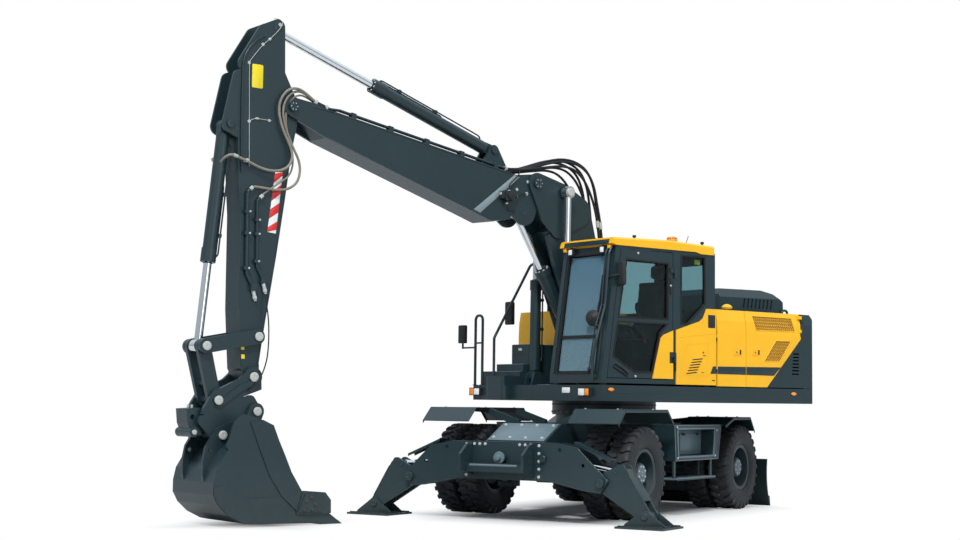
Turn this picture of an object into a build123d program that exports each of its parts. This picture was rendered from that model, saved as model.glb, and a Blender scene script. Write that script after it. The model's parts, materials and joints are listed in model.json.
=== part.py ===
from build123d import *
import math
import os

os.makedirs("parts", exist_ok=True)

# Wheeled excavator, millimetres. X runs forward along the boom, Y to the cab side, Z up.
# The origin lies on the ground under the slewing axis.

# Driving dimensions shared by both halves of the machine
swing = 21.74
seat = 0.3
pin_play = 0.5
wall_play = 6.0

# Undercarriage
wheelbase = 2850.0
rear_axle_x = -1408.0
front_axle_x = rear_axle_x + wheelbase
overall_width = 2530.0
tyre_radius = 527.5
tyre_width = 278.0
tread_width = 214.0
twin_gap = 42.0
rim_radius = 257.0
rim_wall = 12.0
flange_radius = 284.0
hub_radius = 176.0
hub_end_radius = 128.0
spindle_radius = 70.0
kingpin_y = overall_width / 2 - 705.0
kingpin_radius = 32.0
axle_radius = 92.0
rail_half = 380.0
rail_wall = 30.0
chassis_top = 1070.0
chassis_bottom = 760.0
box_half = 600.0
ring_radius = 640.0
ring_bore = 540.0
ring_top = 1310.0
beam_rear_x = 2225.0
beam_depth = 275.0
beam_plate = 25.0
stabiliser_hinge = (1212.0, 458.0)
stabiliser_corner = (1430.0, 615.0)
stabiliser_foot = (1720.0, 125.0)
stabiliser_eye = (1367.0, 592.0)
stabiliser_base = (520.0, 700.0)
blade_pivot = (-1750.0, 520.0)
blade_eye = (-2190.0, 400.0)
blade_base = (-1935.0, 1000.0)
blade_height = 612.0
blade_plate = 22.0

# Upper structure
half_width = 1265.0
deck_bottom = 1338.0
deck_top = 1522.0
deck_front = 1159.0
deck_rear = -2237.0
deck_wall = 16.0
cab_right = 330.0
cab_left = 1250.0
cab_floor = 1545.0
cab_eaves = 3135.0
cab_roof_top = 3248.0
cab_wall = 50.0
cab_rear = -670.0
body_top = 2465.0
body_shoulder = 2185.0
panel_front = -695.0
panel_mid = -1194.0
panel_last = -2190.0
panel_thick = 24.0
panel_play = 4.0
panel_gap = 6.0
panel_low = deck_top + 13.0
side_low = -1562.0
side_high = body_top - 311.0
front_hinge = (panel_front + 3.0, half_width - 3.0)
rear_hinge = (panel_last, half_width + 3.0)
front_hinge_z = (1700.0, 2080.0)
rear_hinge_z = (2190.0, 2360.0)
hood_front = -1410.0
hood_hinge = (hood_front + 16.0, body_top + 16.0)
tail_x = -2830.0
weight_top = body_top
hood_half = 600.0
hood_wall = 16.0
hood_top = 2795.0

# Boom group, all in the plane of the boom
boom_y = -50.0
boom_half = 208.0
boom_cheek = 22.0
arm_half = 140.0
foot_pin = (200.0, 1860.0)
main_pin = (1220.0, 3930.0)
lift_base = (840.0, 1620.0)
lift_eye = (815.0, 3850.0)
lift_y = 289.0
adjust_base = (560.0, 2260.0)
adjust_eye = (1400.0, 3578.0)
adjust_pocket = 120.0
arm_pin = (4618.0, 4456.0)
arm_eye = (4797.0, 5308.0)
arm_base = (1800.0, 4280.0)
bucket_base = (5347.0, 4193.0)
bucket_eye = (5591.0, 1851.0)
rocker_pin = (4983.0, 1965.0)
tip_pin = (5031.0, 1540.0)
push_pin = (5447.0, 1293.0)
hook_pin = (5011.0, 1182.0)
ear_pin = (5409.0, 937.0)
bucket_half = 445.0


def side(y):
    return Plane(origin=(0, y, 0), x_dir=(1, 0, 0), z_dir=(0, -1, 0))


def slab(outline, low, high, mode=Mode.ADD):
    # Outline in X and Z, from y = low to y = high
    with BuildSketch(side(low)) as face:
        with BuildLine():
            Polyline(*outline, close=True)
        make_face()
    extrude(face.sketch, amount=low - high, mode=mode)


def wall(outline, low, high, mode=Mode.ADD):
    # Outline in Y and Z, from x = low to x = high
    with BuildSketch(Plane.YZ.offset(low)) as face:
        with BuildLine():
            Polyline(*outline, close=True)
        make_face()
    extrude(face.sketch, amount=high - low, mode=mode)


def deck(outline, low, high, mode=Mode.ADD):
    # Outline in X and Y, from z = low to z = high
    with BuildSketch(Plane.XY.offset(low)) as face:
        with BuildLine():
            Polyline(*outline, close=True)
        make_face()
    extrude(face.sketch, amount=high - low, mode=mode)


def drum(centre, radius, low, high, mode=Mode.ADD):
    # Round bar along Y at (x, z)
    with BuildSketch(side(low)) as face:
        with Locations(centre):
            Circle(radius)
    extrude(face.sketch, amount=low - high, mode=mode)


def link(ends, low, high, mode=Mode.ADD):
    # Plate round circles (x, z, radius), from y = low to y = high
    with BuildSketch(side(low)) as face:
        for x, z, radius in ends:
            with Locations((x, z)):
                Circle(radius)
        make_hull()
    extrude(face.sketch, amount=low - high, mode=mode)


def cross_link(ends, low, high, mode=Mode.ADD):
    # Plate round circles (y, z, radius), from x = low to x = high
    with BuildSketch(Plane.YZ.offset(low)) as face:
        for y, z, radius in ends:
            with Locations((y, z)):
                Circle(radius)
        make_hull()
    extrude(face.sketch, amount=high - low, mode=mode)


def bar(start, end, radius, mode=Mode.ADD):
    run = Vector(*end) - Vector(*start)
    with BuildSketch(Plane(origin=start, z_dir=run)) as face:
        Circle(radius)
    extrude(face.sketch, amount=run.length, mode=mode)


def block(low, high, mode=Mode.ADD):
    deck([(low[0], low[1]), (high[0], low[1]), (high[0], high[1]), (low[0], high[1])], low[2], high[2], mode)


def along(start, end, distance):
    # Point at a distance from start towards end
    run = math.dist(start, end)
    return tuple(a + (b - a) * distance / run for a, b in zip(start, end))


def save(part, node, turn=0.0):
    placed = part.rotate(Axis.Z, turn)
    placed.label = node
    export_step(placed, f"parts/{node}.step")


# Hydraulic cylinders: the barrel from its base eye to the gland, and the rod with its eye
def barrel(base, eye, axis, places, length, radius, rod, bore, width):
    # base and eye are points (u, v) across the pins, which run along axis at each place
    plate = link if axis == "Y" else cross_link
    neck = [(*base, 0.92 * radius), (*along(base, eye, 1.4 * radius), 0.8 * radius)]
    for place in places:
        def at(distance):
            point = along(base, eye, distance)
            return (point[0], place, point[1]) if axis == "Y" else (place, point[0], point[1])
        bar(at(1.3 * radius), at(length), radius)
        bar(at(0.9 * length), at(length), radius * 1.13)
        plate(neck, place - width / 2, place + width / 2)
        plate([(*base, bore)], place - width, place + width, Mode.SUBTRACT)
        bar(at(1.5 * radius), at(length + 5.0), rod + pin_play, Mode.SUBTRACT)


def rod(base, eye, axis, places, inner, radius, boss, width, stub):
    # The eye's pin shows as a stub on both sides of its boss
    plate = link if axis == "Y" else cross_link
    for place in places:
        start, end = along(base, eye, inner), eye
        if axis == "Y":
            bar((start[0], place, start[1]), (end[0], place, end[1]), radius)
        else:
            bar((place, *start), (place, *end), radius)
        plate([(*eye, boss)], place - width / 2, place + width / 2)
        plate([(*eye, 0.55 * boss)], place - width / 2 - stub, place + width / 2 + stub)


# Wheels: twin tyres on one dished rim, the hub's bore on the axle's spindle
def tyre_ring(centre_x, centre_y):
    # Half section as (radius, half width) from the bead out to the tread
    profile = [
        (rim_radius + seat, 93.0),
        (flange_radius + 6.0, 93.0),
        (flange_radius + 24.0, 122.0),
        (390.0, tyre_width / 2),
        (476.0, tyre_width / 2 - 6.0),
        (tyre_radius, tread_width / 2),
    ]
    points = [(w, r) for r, w in profile] + [(-w, r) for r, w in reversed(profile)]
    with BuildSketch(Plane(origin=(centre_x, centre_y, tyre_radius), x_dir=(0, 1, 0),
                           z_dir=(-1, 0, 0))) as face:
        with BuildLine():
            Polyline(*points, close=True)
        make_face()
    revolve(face.sketch, Axis((centre_x, 0, tyre_radius), (0, 1, 0)))


outer_tyre_y = overall_width / 2 - tyre_width / 2
inner_tyre_y = outer_tyre_y - tyre_width - twin_gap
rim_mid_y = (outer_tyre_y + inner_tyre_y) / 2
rim_half = 94.0
hub_inner_y = inner_tyre_y - 60.0
hub_end_y = outer_tyre_y + 70.0

for end, axle_x in (("front", front_axle_x), ("rear", rear_axle_x)):
    for hand, sign in (("left", 1), ("right", -1)):
        with BuildPart() as tyres:
            for tyre_y in (outer_tyre_y, inner_tyre_y):
                tyre_ring(axle_x, sign * tyre_y)
        save(tyres.part, f"tyres_{end}_{hand}", swing)

        # Section as (distance from the middle plane of the machine, radius)
        lip_in = inner_tyre_y - rim_half - 10.0
        lip_out = outer_tyre_y + rim_half + 10.0
        section = [
            (hub_inner_y, spindle_radius + pin_play),
            (hub_inner_y, hub_radius),
            (rim_mid_y - 14.0, hub_radius),
            (rim_mid_y - 14.0, rim_radius - rim_wall),
            (lip_in, rim_radius - rim_wall),
            (lip_in, flange_radius),
            (lip_in + 8.0, flange_radius),
            (lip_in + 8.0, rim_radius),
            (lip_out - 8.0, rim_radius),
            (lip_out - 8.0, flange_radius),
            (lip_out, flange_radius),
            (lip_out, rim_radius - rim_wall),
            (rim_mid_y + 14.0, rim_radius - rim_wall),
            (rim_mid_y + 14.0, hub_radius),
            (rim_mid_y + 90.0, hub_radius),
            (rim_mid_y + 110.0, hub_end_radius + 20.0),
            (hub_end_y - 20.0, hub_end_radius),
            (hub_end_y, hub_end_radius - 16.0),
            (hub_end_y, 0.0),
            (rim_mid_y + 60.0, 0.0),
            (rim_mid_y + 60.0, spindle_radius + pin_play),
        ]
        with BuildPart() as rims:
            with BuildSketch(Plane(origin=(axle_x, 0, tyre_radius), x_dir=(0, sign, 0),
                                   z_dir=(-sign, 0, 0))) as face:
                with BuildLine():
                    Polyline(*section, close=True)
                make_face()
            revolve(face.sketch, Axis((axle_x, 0, tyre_radius), (0, 1, 0)))
        save(rims.part, f"rims_{end}_{hand}", swing)

# Chassis: box rails, a wide middle under the slewing ring and a sloping nose
nose_x = beam_rear_x - seat
with BuildPart() as chassis:
    rail = [
        (-1850, chassis_bottom), (-1850, chassis_top), (1830, chassis_top), (nose_x, 870),
        (nose_x, 480), (2100, 480), (1950, 800), (700, 800), (box_half, 690), (-box_half, 690),
        (-700, chassis_bottom),
    ]
    slab(rail, -rail_half, rail_half)
    hollow = [
        (-1850 + rail_wall, 400), (-1850 + rail_wall, chassis_top - rail_wall),
        (1815, chassis_top - rail_wall),
        (nose_x - rail_wall, 850), (nose_x - rail_wall, 400),
    ]
    block((-box_half, -box_half, 690), (box_half, box_half, chassis_top))
    slab(hollow, -rail_half + rail_wall, rail_half - rail_wall, Mode.SUBTRACT)
    for sign in (1, -1):
        low, high = sorted((sign * rail_half, sign * (box_half - rail_wall)))
        block((-box_half + rail_wall, low, 600), (box_half - rail_wall, high, chassis_top - rail_wall),
              Mode.SUBTRACT)
    # Lugs of the front axle's rocking pin
    for low in (front_axle_x - 207, front_axle_x + 167):
        wall([(-rail_half, 800), (-90, 660), (90, 660), (rail_half, 800), (rail_half, 1050),
              (-rail_half, 1050)],
             low, low + 40)
    bar((front_axle_x - 207, 0, 717), (front_axle_x + 207, 0, 717), 36)
    # Lugs of the blade's arms and of its cylinders
    for sign in (1, -1):
        low, high = sorted((sign * (rail_half - rail_wall), sign * rail_half))
        link([(*blade_pivot, 72.0), (-1700, 800, 60.0), (-1790, 800, 60.0)], low, high)
        drum(blade_pivot, 35.0 + pin_play, low - 5, high + 5, Mode.SUBTRACT)
        for shift in (-84, 56):
            low = sign * 200 + shift
            link([(*blade_base, 42.0), (-1850, 930, 30.0), (-1850, 1035, 30.0)], low, low + 28)
        drum(blade_base, 24.0, sign * 200 - 84, sign * 200 + 84)
    block((-1850 + rail_wall, -rail_half, 800), (-1500, rail_half, 800 + rail_wall))
    # Pedestal of the slewing ring
    with BuildSketch(Plane.XY.offset(chassis_top)):
        Circle(box_half - 4)
        Circle(ring_bore, mode=Mode.SUBTRACT)
    extrude(amount=100)
    with BuildSketch(Plane.XY.offset(chassis_top + 100)):
        Circle(ring_radius)
        Circle(ring_bore, mode=Mode.SUBTRACT)
    extrude(amount=ring_top - chassis_top - 100)
save(chassis.part, "chassis", swing)

# Front axle: steered, rocking on a pin along the machine
knuckle_top = 150.0
with BuildPart() as front_axle:
    bar((front_axle_x, -kingpin_y + 120, tyre_radius), (front_axle_x, kingpin_y - 120, tyre_radius),
        axle_radius)
    with BuildSketch(side(0)) as middle:
        with Locations((front_axle_x, tyre_radius)):
            Circle(140)
    extrude(middle.sketch, amount=120, both=True)
    block((front_axle_x - 160, -60, 640), (front_axle_x + 160, 60, 765))
    bar((front_axle_x - 165, 0, 717), (front_axle_x + 165, 0, 717), 36 + pin_play, Mode.SUBTRACT)
    for sign in (1, -1):
        low, high = sorted((sign * (kingpin_y - 125), sign * (kingpin_y + 60)))
        for base in (tyre_radius - knuckle_top - 45, tyre_radius + knuckle_top):
            block((front_axle_x - 75, low, base), (front_axle_x + 75, high, base + 45))
        low, high = sorted((sign * (kingpin_y - 150), sign * (kingpin_y - 118)))
        block((front_axle_x - 75, low, tyre_radius - knuckle_top - 45),
              (front_axle_x + 75, high, tyre_radius + knuckle_top + 45))
        bar((front_axle_x, sign * kingpin_y, tyre_radius - knuckle_top - 50),
            (front_axle_x, sign * kingpin_y, tyre_radius + knuckle_top + 50), kingpin_radius + pin_play,
            Mode.SUBTRACT)
save(front_axle.part, "front_axle", swing)

for hand, sign in (("left", 1), ("right", -1)):
    with BuildPart() as knuckle:
        with BuildSketch(Plane.XY.offset(tyre_radius - knuckle_top + wall_play)) as post:
            with Locations((front_axle_x, sign * kingpin_y)):
                Circle(78)
        extrude(post.sketch, amount=2 * (knuckle_top - wall_play))
        bar((front_axle_x, sign * kingpin_y, tyre_radius - knuckle_top - 52),
            (front_axle_x, sign * kingpin_y, tyre_radius + knuckle_top + 52), kingpin_radius)
        bar((front_axle_x, sign * kingpin_y, tyre_radius), (front_axle_x, sign * (hub_inner_y - 20),
                                                            tyre_radius), 130)
        bar((front_axle_x, sign * kingpin_y, tyre_radius), (front_axle_x, sign * (rim_mid_y + 50),
                                                            tyre_radius),
            spindle_radius)
    save(knuckle.part, f"knuckle_{hand}", swing)

with BuildPart() as rear_axle:
    bar((rear_axle_x, -hub_inner_y + 20, tyre_radius), (rear_axle_x, hub_inner_y - 20, tyre_radius), 110)
    with BuildSketch(side(0)) as middle:
        with Locations((rear_axle_x, tyre_radius)):
            Circle(190)
    extrude(middle.sketch, amount=150, both=True)
    bar((rear_axle_x, -rim_mid_y - 50, tyre_radius), (rear_axle_x, rim_mid_y + 50, tyre_radius),
        spindle_radius)
    for sign in (1, -1):
        low, high = sorted((sign * (rail_half - 60), sign * (rail_half + 40)))
        block((rear_axle_x - 110, low, tyre_radius), (rear_axle_x + 110, high, chassis_bottom - seat))
save(rear_axle.part, "rear_axle", swing)

# Wings over the wheels and the boxes with steps between them
with BuildPart() as fenders:
    # Columns: low rear corner, rear bend, front bend, low front corner
    for profile, foot in (
        (((714, 1093), (884, 1247), (2000, 1247), (2170, 1093)), (1000, 1640)),
        (((-1827, 988), (-1680, 1160), (-1129, 1160), (-853, 1063)), (-1620, -1240)),
    ):
        for sign in (1, -1):
            low, high = sorted((sign * 640, sign * half_width))
            under = [(x, z - 8) for x, z in reversed(profile)]
            slab(list(profile) + under, low, high)
            for x in foot:
                top = profile[1][1] - 8
                wall([(sign * 250, chassis_top + seat), (sign * 370, chassis_top + seat),
                      (sign * 700, top - 50), (sign * (half_width - 80), top - 20),
                      (sign * (half_width - 80), top), (sign * 640, top), (sign * 250, chassis_top + 40)],
                     x, x + 60)
save(fenders.part, "fenders", swing)

with BuildPart() as side_steps:
    for sign in (1, -1):
        shell = [(-850, 1069), (560, 1069), (522, 645), (-757, 645)]
        inner = [(-836, 1055), (546, 1055), (510, 659), (-745, 659)]
        recess = [(-622, 1013), (465, 1013), (440, 701), (-590, 701)]
        low, high = sorted((sign * (box_half + seat), sign * 1200))
        slab(shell, low, high)
        low, high = sorted((sign * (box_half - 5), sign * 1030))
        slab(inner, low, high, Mode.SUBTRACT)
        low, high = sorted((sign * 1045, sign * 1300))
        slab(recess, low, high, Mode.SUBTRACT)
        low, high = sorted((sign * 1000, sign * 1240))
        block((-585, low, 420), (565, high, 436))
        for x in (-580, 500):
            for y in (1010, 1170):
                low, high = sorted((sign * y, sign * (y + 20)))
                block((x, low, 436), (x + 50, high, 645))
save(side_steps.part, "side_steps", swing)

# Stabilisers: beam on the chassis nose, two arms with pads, one cylinder each
beam_front_x = beam_rear_x + beam_depth
beam_mid_x = beam_rear_x + beam_depth / 2
with BuildPart() as stabiliser_beam:
    outline = [(-650, 870), (650, 870), (930, 825), (1212, 565), (1300, 480), (1212, 355), (1000, 376),
               (600, 457),
               (-600, 457), (-1000, 376), (-1212, 355), (-1300, 480), (-1212, 565), (-930, 825)]
    for low in (beam_rear_x, beam_front_x - beam_plate):
        wall(outline, low, low + beam_plate)
    block((beam_rear_x, -440, 845), (beam_front_x, 440, 870))
    block((beam_rear_x, -440, 457), (beam_front_x, 440, 482))
    for sign in (1, -1):
        low, high = sorted((sign * 415, sign * 440))
        block((beam_rear_x, low, 457), (beam_front_x, high, 870))
        for point, radius in ((stabiliser_base, 28.0), (stabiliser_hinge, 38.0)):
            cross_link([(sign * point[0], point[1], radius)], beam_rear_x, beam_front_x + 30)
    # Towing bracket: two ears with a low shelf, a round boss and an upright pin hole between two plates
    for sign in (1, -1):
        low, high = sorted((sign * 380, sign * 410))
        slab([(beam_front_x, 860), (beam_front_x + 110, 850), (beam_front_x + 257, 740),
              (beam_front_x + 257, 560),
              (beam_front_x, 500)], low, high)
    block((beam_front_x, -410, 540), (beam_front_x + 120, 410, 565))
    block((beam_front_x + 95, -410, 540), (beam_front_x + 120, 410, 640))
    bar((beam_front_x, 0, 700), (beam_front_x + 60, 0, 700), 62)
    bar((beam_front_x, 0, 700), (beam_front_x + 82, 0, 700), 30)
    # Lifting holes in the front plate
    for y, z in ((-1000, 640), (-720, 800), (720, 800), (1000, 640)):
        bar((beam_front_x - beam_plate - 5, y, z), (beam_front_x + 5, y, z), 22, Mode.SUBTRACT)
save(stabiliser_beam.part, "stabiliser_beam", swing)

for hand, sign in (("left", 1), ("right", -1)):
    hinge = (sign * stabiliser_hinge[0], stabiliser_hinge[1])
    corner = (sign * stabiliser_corner[0], stabiliser_corner[1])
    foot = (sign * stabiliser_foot[0], stabiliser_foot[1])
    eye = (sign * stabiliser_eye[0], stabiliser_eye[1])
    base = (sign * stabiliser_base[0], stabiliser_base[1])
    inner_x = beam_rear_x + beam_plate + 15
    outer_x = beam_front_x - beam_plate - 15
    with BuildPart() as arm_plates:
        for low in (inner_x, outer_x - 30):
            cross_link([(*hinge, 92.0), (*corner, 50.0), (*foot, 68.0)], low, low + 30)
        cross_link([(*hinge, 60.0)], inner_x, outer_x)
        cross_link([(*along(corner, foot, 90), 18.0), (*along(corner, foot, 440), 18.0)], inner_x, outer_x)
        cross_link([(*hinge, 38.0 + pin_play)], inner_x - 5, outer_x + 5, Mode.SUBTRACT)
        cross_link([(*foot, 25.0 + pin_play)], inner_x - 5, outer_x + 5, Mode.SUBTRACT)
    save(arm_plates.part, f"stabiliser_arm_{hand}", swing)
    with BuildPart() as pad:
        block((beam_mid_x - 260, foot[0] - 280, 0), (beam_mid_x + 260, foot[0] + 280, 22))
        cross_link([(*foot, 50.0), (foot[0] - 70, 40, 20.0), (foot[0] + 70, 40, 20.0)],
                   inner_x + 30 + 8, outer_x - 30 - 8)
        cross_link([(*foot, 25.0)], inner_x - 12, outer_x + 12)
    save(pad.part, f"stabiliser_pad_{hand}", swing)
    with BuildPart() as stabiliser_barrel:
        barrel(base, eye, "X", (beam_mid_x,), 470.0, 50.0, 32.0, 28.0 + pin_play, 96.0)
    save(stabiliser_barrel.part, f"stabiliser_barrel_{hand}", swing)
    with BuildPart() as stabiliser_rod:
        rod(base, eye, "X", (beam_mid_x,), 405.0, 32.0, 44.0, 70.0, 12.0)
    save(stabiliser_rod.part, f"stabiliser_rod_{hand}", swing)

# Dozer blade behind the rear wheels
blade_bottom = (-2377.0, 0.0)
blade_top = (-2277.0, blade_height)
with BuildPart() as blade:
    with BuildSketch(side(-half_width)) as face:
        with BuildLine():
            ThreePointArc(blade_bottom, (-2268, 300), blade_top)
            Line(blade_top, (blade_top[0] + blade_plate, blade_top[1]))
            ThreePointArc((blade_top[0] + blade_plate, blade_top[1]), (-2268 + blade_plate, 300),
                          (blade_bottom[0] + blade_plate, 0))
            Line((blade_bottom[0] + blade_plate, 0), blade_bottom)
        make_face()
    extrude(face.sketch, amount=-2 * half_width)
    slab([(-2275, 120), (-2160, 160), (-2160, 300), (-2262, 320)], -900, 900)
    for sign in (1, -1):
        low, high = sorted((sign * 296, sign * 344))
        link([(*blade_pivot, 70.0), (-2190, 310, 110.0)], low, high)
        drum(blade_pivot, 35.0, *sorted((sign * 300, sign * (rail_half + 12))))
        for y in (sign * 200 - 84, sign * 200 + 56):
            link([(*blade_eye, 45.0), (-2235, 300, 40.0)], y, y + 28)
save(blade.part, "blade", swing)

with BuildPart() as blade_barrels:
    barrel(blade_base, blade_eye, "Y", (-200, 200), 390.0, 42.0, 26.0, 24.0 + pin_play, 96.0)
save(blade_barrels.part, "blade_barrels", swing)
with BuildPart() as blade_rods:
    rod(blade_base, blade_eye, "Y", (-200, 200), 310.0, 26.0, 38.0, 78.0, 10.0)
save(blade_rods.part, "blade_rods", swing)

# Upper frame: deck with skirts, webs, turntable plate, boom foot and lift cylinder lugs
foot_width = boom_half + 22.0
lug_in = lift_y - 48.0
lug_out = lift_y + 48.0
deck_corner = (160.0, 110.0)
with BuildPart() as upper_frame:
    plan = [(deck_rear, -half_width), (deck_front - deck_corner[0], -half_width),
            (deck_front, -half_width + deck_corner[1]), (deck_front, half_width), (deck_rear, half_width)]
    deck(plan, deck_bottom, deck_top)
    pocket = [(deck_rear + deck_wall, -half_width + deck_wall),
              (deck_front - deck_corner[0] - 10, -half_width + deck_wall),
              (deck_front - deck_wall, -half_width + deck_corner[1] + 10),
              (deck_front - deck_wall, half_width - deck_wall), (deck_rear + deck_wall,
                                                                 half_width - deck_wall)]
    deck(pocket, deck_bottom - 5, deck_top - deck_wall, Mode.SUBTRACT)
    for sign in (1, -1):
        low, high = sorted((boom_y + sign * foot_width, boom_y + sign * (foot_width + 35)))
        block((deck_rear, low, deck_bottom), (deck_front, high, deck_top))
        link([(*foot_pin, 120.0), (-300, deck_top + 60, 60.0), (560, deck_top + 40, 40.0),
              (-300, deck_top - 20, 10.0),
              (600, deck_top - 20, 10.0)], low, high)
        # Front lugs of the lift cylinders
        for shift in (lug_in - 30, lug_out):
            low, high = sorted((boom_y + sign * shift, boom_y + sign * (shift + 30)))
            link([(*lift_base, 75.0), (760, deck_top - 10, 8.0), (940, deck_top - 10, 8.0)], low, high)
        low, high = sorted((boom_y + sign * (lug_in - 30), boom_y + sign * (lug_out + 30)))
        drum(lift_base, 42.0, low, high)
    drum(foot_pin, 55.0, boom_y - foot_width - 50, boom_y + foot_width + 50)
    with BuildSketch(Plane.XY.offset(ring_top + pin_play)):
        Circle(ring_radius)
        Circle(ring_bore - 60, mode=Mode.SUBTRACT)
    extrude(amount=deck_bottom + 20 - ring_top - pin_play)
    for x in (700, -700, -1500):
        block((x, -half_width + 5, deck_bottom + 10), (x + 20, half_width - 5, deck_top - 5))
    # Folded lip along the skirts' lower edge
    for sign in (1, -1):
        low, high = sorted((sign * (half_width - 46), sign * (half_width - 5)))
        block((deck_rear + 5, low, deck_bottom), (deck_front - deck_corner[0] - 10, high, deck_bottom + 12))
    # Rubber blocks under the cab
    for x in (cab_rear + 80, deck_front - 110):
        for y in (cab_right + 60, cab_left - 90):
            with BuildSketch(Plane.XY.offset(deck_top)) as pads:
                with Locations((x, y)):
                    Circle(45)
            extrude(pads.sketch, amount=cab_floor - deck_top - seat)
    # Bulkhead, posts and rim that carry the panels behind the cab
    frame_y = half_width - panel_thick - seat
    block((deck_rear + 2, -frame_y + 40, body_top - 20), (panel_front, frame_y - 40, body_top))
    block((deck_rear + 60, -hood_half + 50, body_top - 30), (hood_front - 50, hood_half - 50, body_top + 10),
          Mode.SUBTRACT)
    for x in (panel_front - 25, panel_mid - 12, deck_rear + 2):
        for sign in (1, -1):
            post = [(frame_y - 58, deck_top - 5), (frame_y, deck_top - 5), (frame_y, body_shoulder),
                    (frame_y - 9, body_top - 135), (frame_y - 39, body_top), (frame_y - 98, body_top)]
            wall([(sign * y, z) for y, z in post], x, x + 25)
    block((panel_front - 25, cab_right, deck_top - 5), (panel_front, frame_y - 45, body_top - 30))
    for z in front_hinge_z:
        block((panel_front - 20, frame_y - 20, z), (front_hinge[0] + 5, frame_y - 4, z + 40))
        block((front_hinge[0] - 5, frame_y - 20, z), (front_hinge[0] + 5, front_hinge[1], z + 40))
        bar((*front_hinge, z), (*front_hinge, z + 40), 6)
        bar((*front_hinge, z), (*front_hinge, z + 80), 3)
    # Barrels of the hood's hinge
    for sign in (1, -1):
        low, high = sorted((sign * (hood_half - 170), sign * (hood_half - 130)))
        block((hood_hinge[0] - 12, low, body_top - 5), (hood_hinge[0] + 12, high, hood_hinge[1]))
        drum(hood_hinge, 12.0, low, high)
        low, high = sorted((sign * (hood_half - 170), sign * (hood_half - 80)))
        drum(hood_hinge, 6.0, low, high)
save(upper_frame.part, "upper_frame")


def lean(z):
    # How far a side panel leans in at height z
    if z < body_top - 135:
        return max(0.0, 9.0 * (z - body_shoulder) / (body_top - 135 - body_shoulder))
    return 9.0 + 30.0 * (z - body_top + 135) / 135


# Outline in Y and Z of a side panel: plumb up to the shoulder, leaning in above it
def panel_section(sign):
    outer = [(half_width, panel_low), (half_width, body_shoulder), (half_width - 9, body_top - 135),
             (half_width - 39, body_top)]
    inner = [(y - panel_thick, z) for y, z in reversed(outer)]
    return [(sign * y, z) for y, z in outer + inner]


# Counterweight: rounded tail as high as the body, with wings that close the sides below the rear panels
with BuildPart() as counterweight:
    weight_front = deck_rear - seat
    with BuildSketch(Plane.XY.offset(deck_bottom)):
        with BuildLine():
            Line((weight_front, -half_width), (-2400, -half_width))
            ThreePointArc((-2400, -half_width), (-2700, -900), (tail_x, 0))
            ThreePointArc((tail_x, 0), (-2700, 900), (-2400, half_width))
            Line((-2400, half_width), (weight_front, half_width))
            Line((weight_front, half_width), (weight_front, -half_width))
        make_face()
    extrude(amount=weight_top - deck_bottom)
    chamfer(counterweight.faces().sort_by(Axis.Z)[-1].edges().filter_by(GeomType.CIRCLE), 60, 40)
    for sign in (1, -1):
        bevel = [(half_width, body_shoulder), (half_width - 9, body_top - 135), (half_width - 39, body_top),
                 (half_width - 39, body_top + 10), (half_width + 10, body_top + 10),
                 (half_width + 10, body_shoulder)]
        wall([(sign * y, z) for y, z in bevel], tail_x, weight_front + 5, Mode.SUBTRACT)
    slab([(tail_x - 50, deck_bottom - 10), (tail_x + 90, deck_bottom - 10), (tail_x - 50, deck_bottom + 160)],
         -half_width - 10, half_width + 10, Mode.SUBTRACT)
    # Groove between the deck's line and the body
    for sign in (1, -1):
        low, high = sorted((sign * (half_width - 6), sign * (half_width + 10)))
        block((-2420, low, deck_top), (weight_front + 5, high, deck_top + 12), Mode.SUBTRACT)
    for sign in (1, -1):
        low, high = sorted((sign * (half_width - panel_thick), sign * half_width))
        slab([(weight_front - 5, panel_low), (side_low - 5 - panel_gap, panel_low),
              (panel_last - panel_play, side_high + panel_play - panel_gap),
              (panel_last - panel_play, body_shoulder),
              (weight_front - 5, body_shoulder)], low, high)
        wall(panel_section(sign), weight_front - 5, panel_last - panel_play)
        # Air slots in the wing
        for step in range(7):
            z = 1700 + 42 * step
            slab([(-2020 - 4 * step, z), (-2150, z), (-2150, z + 18), (-2020 - 4 * step, z + 18)], low - 2,
                 high + 2,
                 Mode.SUBTRACT)
    for z in rear_hinge_z:
        block((panel_last - 47, half_width - 22, z), (rear_hinge[0], rear_hinge[1] - 2, z + 40))
        bar((*rear_hinge, z), (*rear_hinge, z + 40), 7)
        bar((*rear_hinge, z), (*rear_hinge, z + 80), 3.5)
save(counterweight.part, "counterweight")

# Grilles of the rear panels and the hatch with louvres under the cab's rear window
grilles = (
    [(-1323, 2410), (-2036, 2408), (-2083, 2242), (-1368, 2235)],
    [(-1726, 2115), (-2007, 2118), (-1800, 1863), (-1513, 1856)],
)
hatch = [(-169, 2015), (-536, 2051), (-528, 1641), (-86, 1645)]


def rear_panel(sign):
    low, high = sorted((sign * (half_width - 80), sign * (half_width + 10)))
    wall(panel_section(sign), panel_last + panel_play, panel_mid - panel_play)
    for outline in grilles:
        slab(outline, low, high, Mode.SUBTRACT)
    # Slats in the openings, columns: low, pitch, how many, rear end, front end
    for start, pitch, count, rear, front in ((2262, 38, 4, -2095, -1310), (1884, 40, 6, -2020, -1500)):
        for step in range(count):
            z = start + pitch * step
            y = half_width - lean(z + 14)
            low, high = sorted((sign * (y - panel_thick + 3), sign * (y - 11)))
            block((rear, low, z), (front, high, z + 14))
    low, high = sorted((sign * (half_width - 80), sign * (half_width + 10)))
    slab([(side_low, panel_low - 5), (panel_last, side_high), (panel_last - 20, side_high),
          (panel_last - 20, panel_low - 5)], low, high, Mode.SUBTRACT)


def front_panel(sign):
    wall(panel_section(sign), panel_mid + panel_play, panel_front - panel_play)


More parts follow.
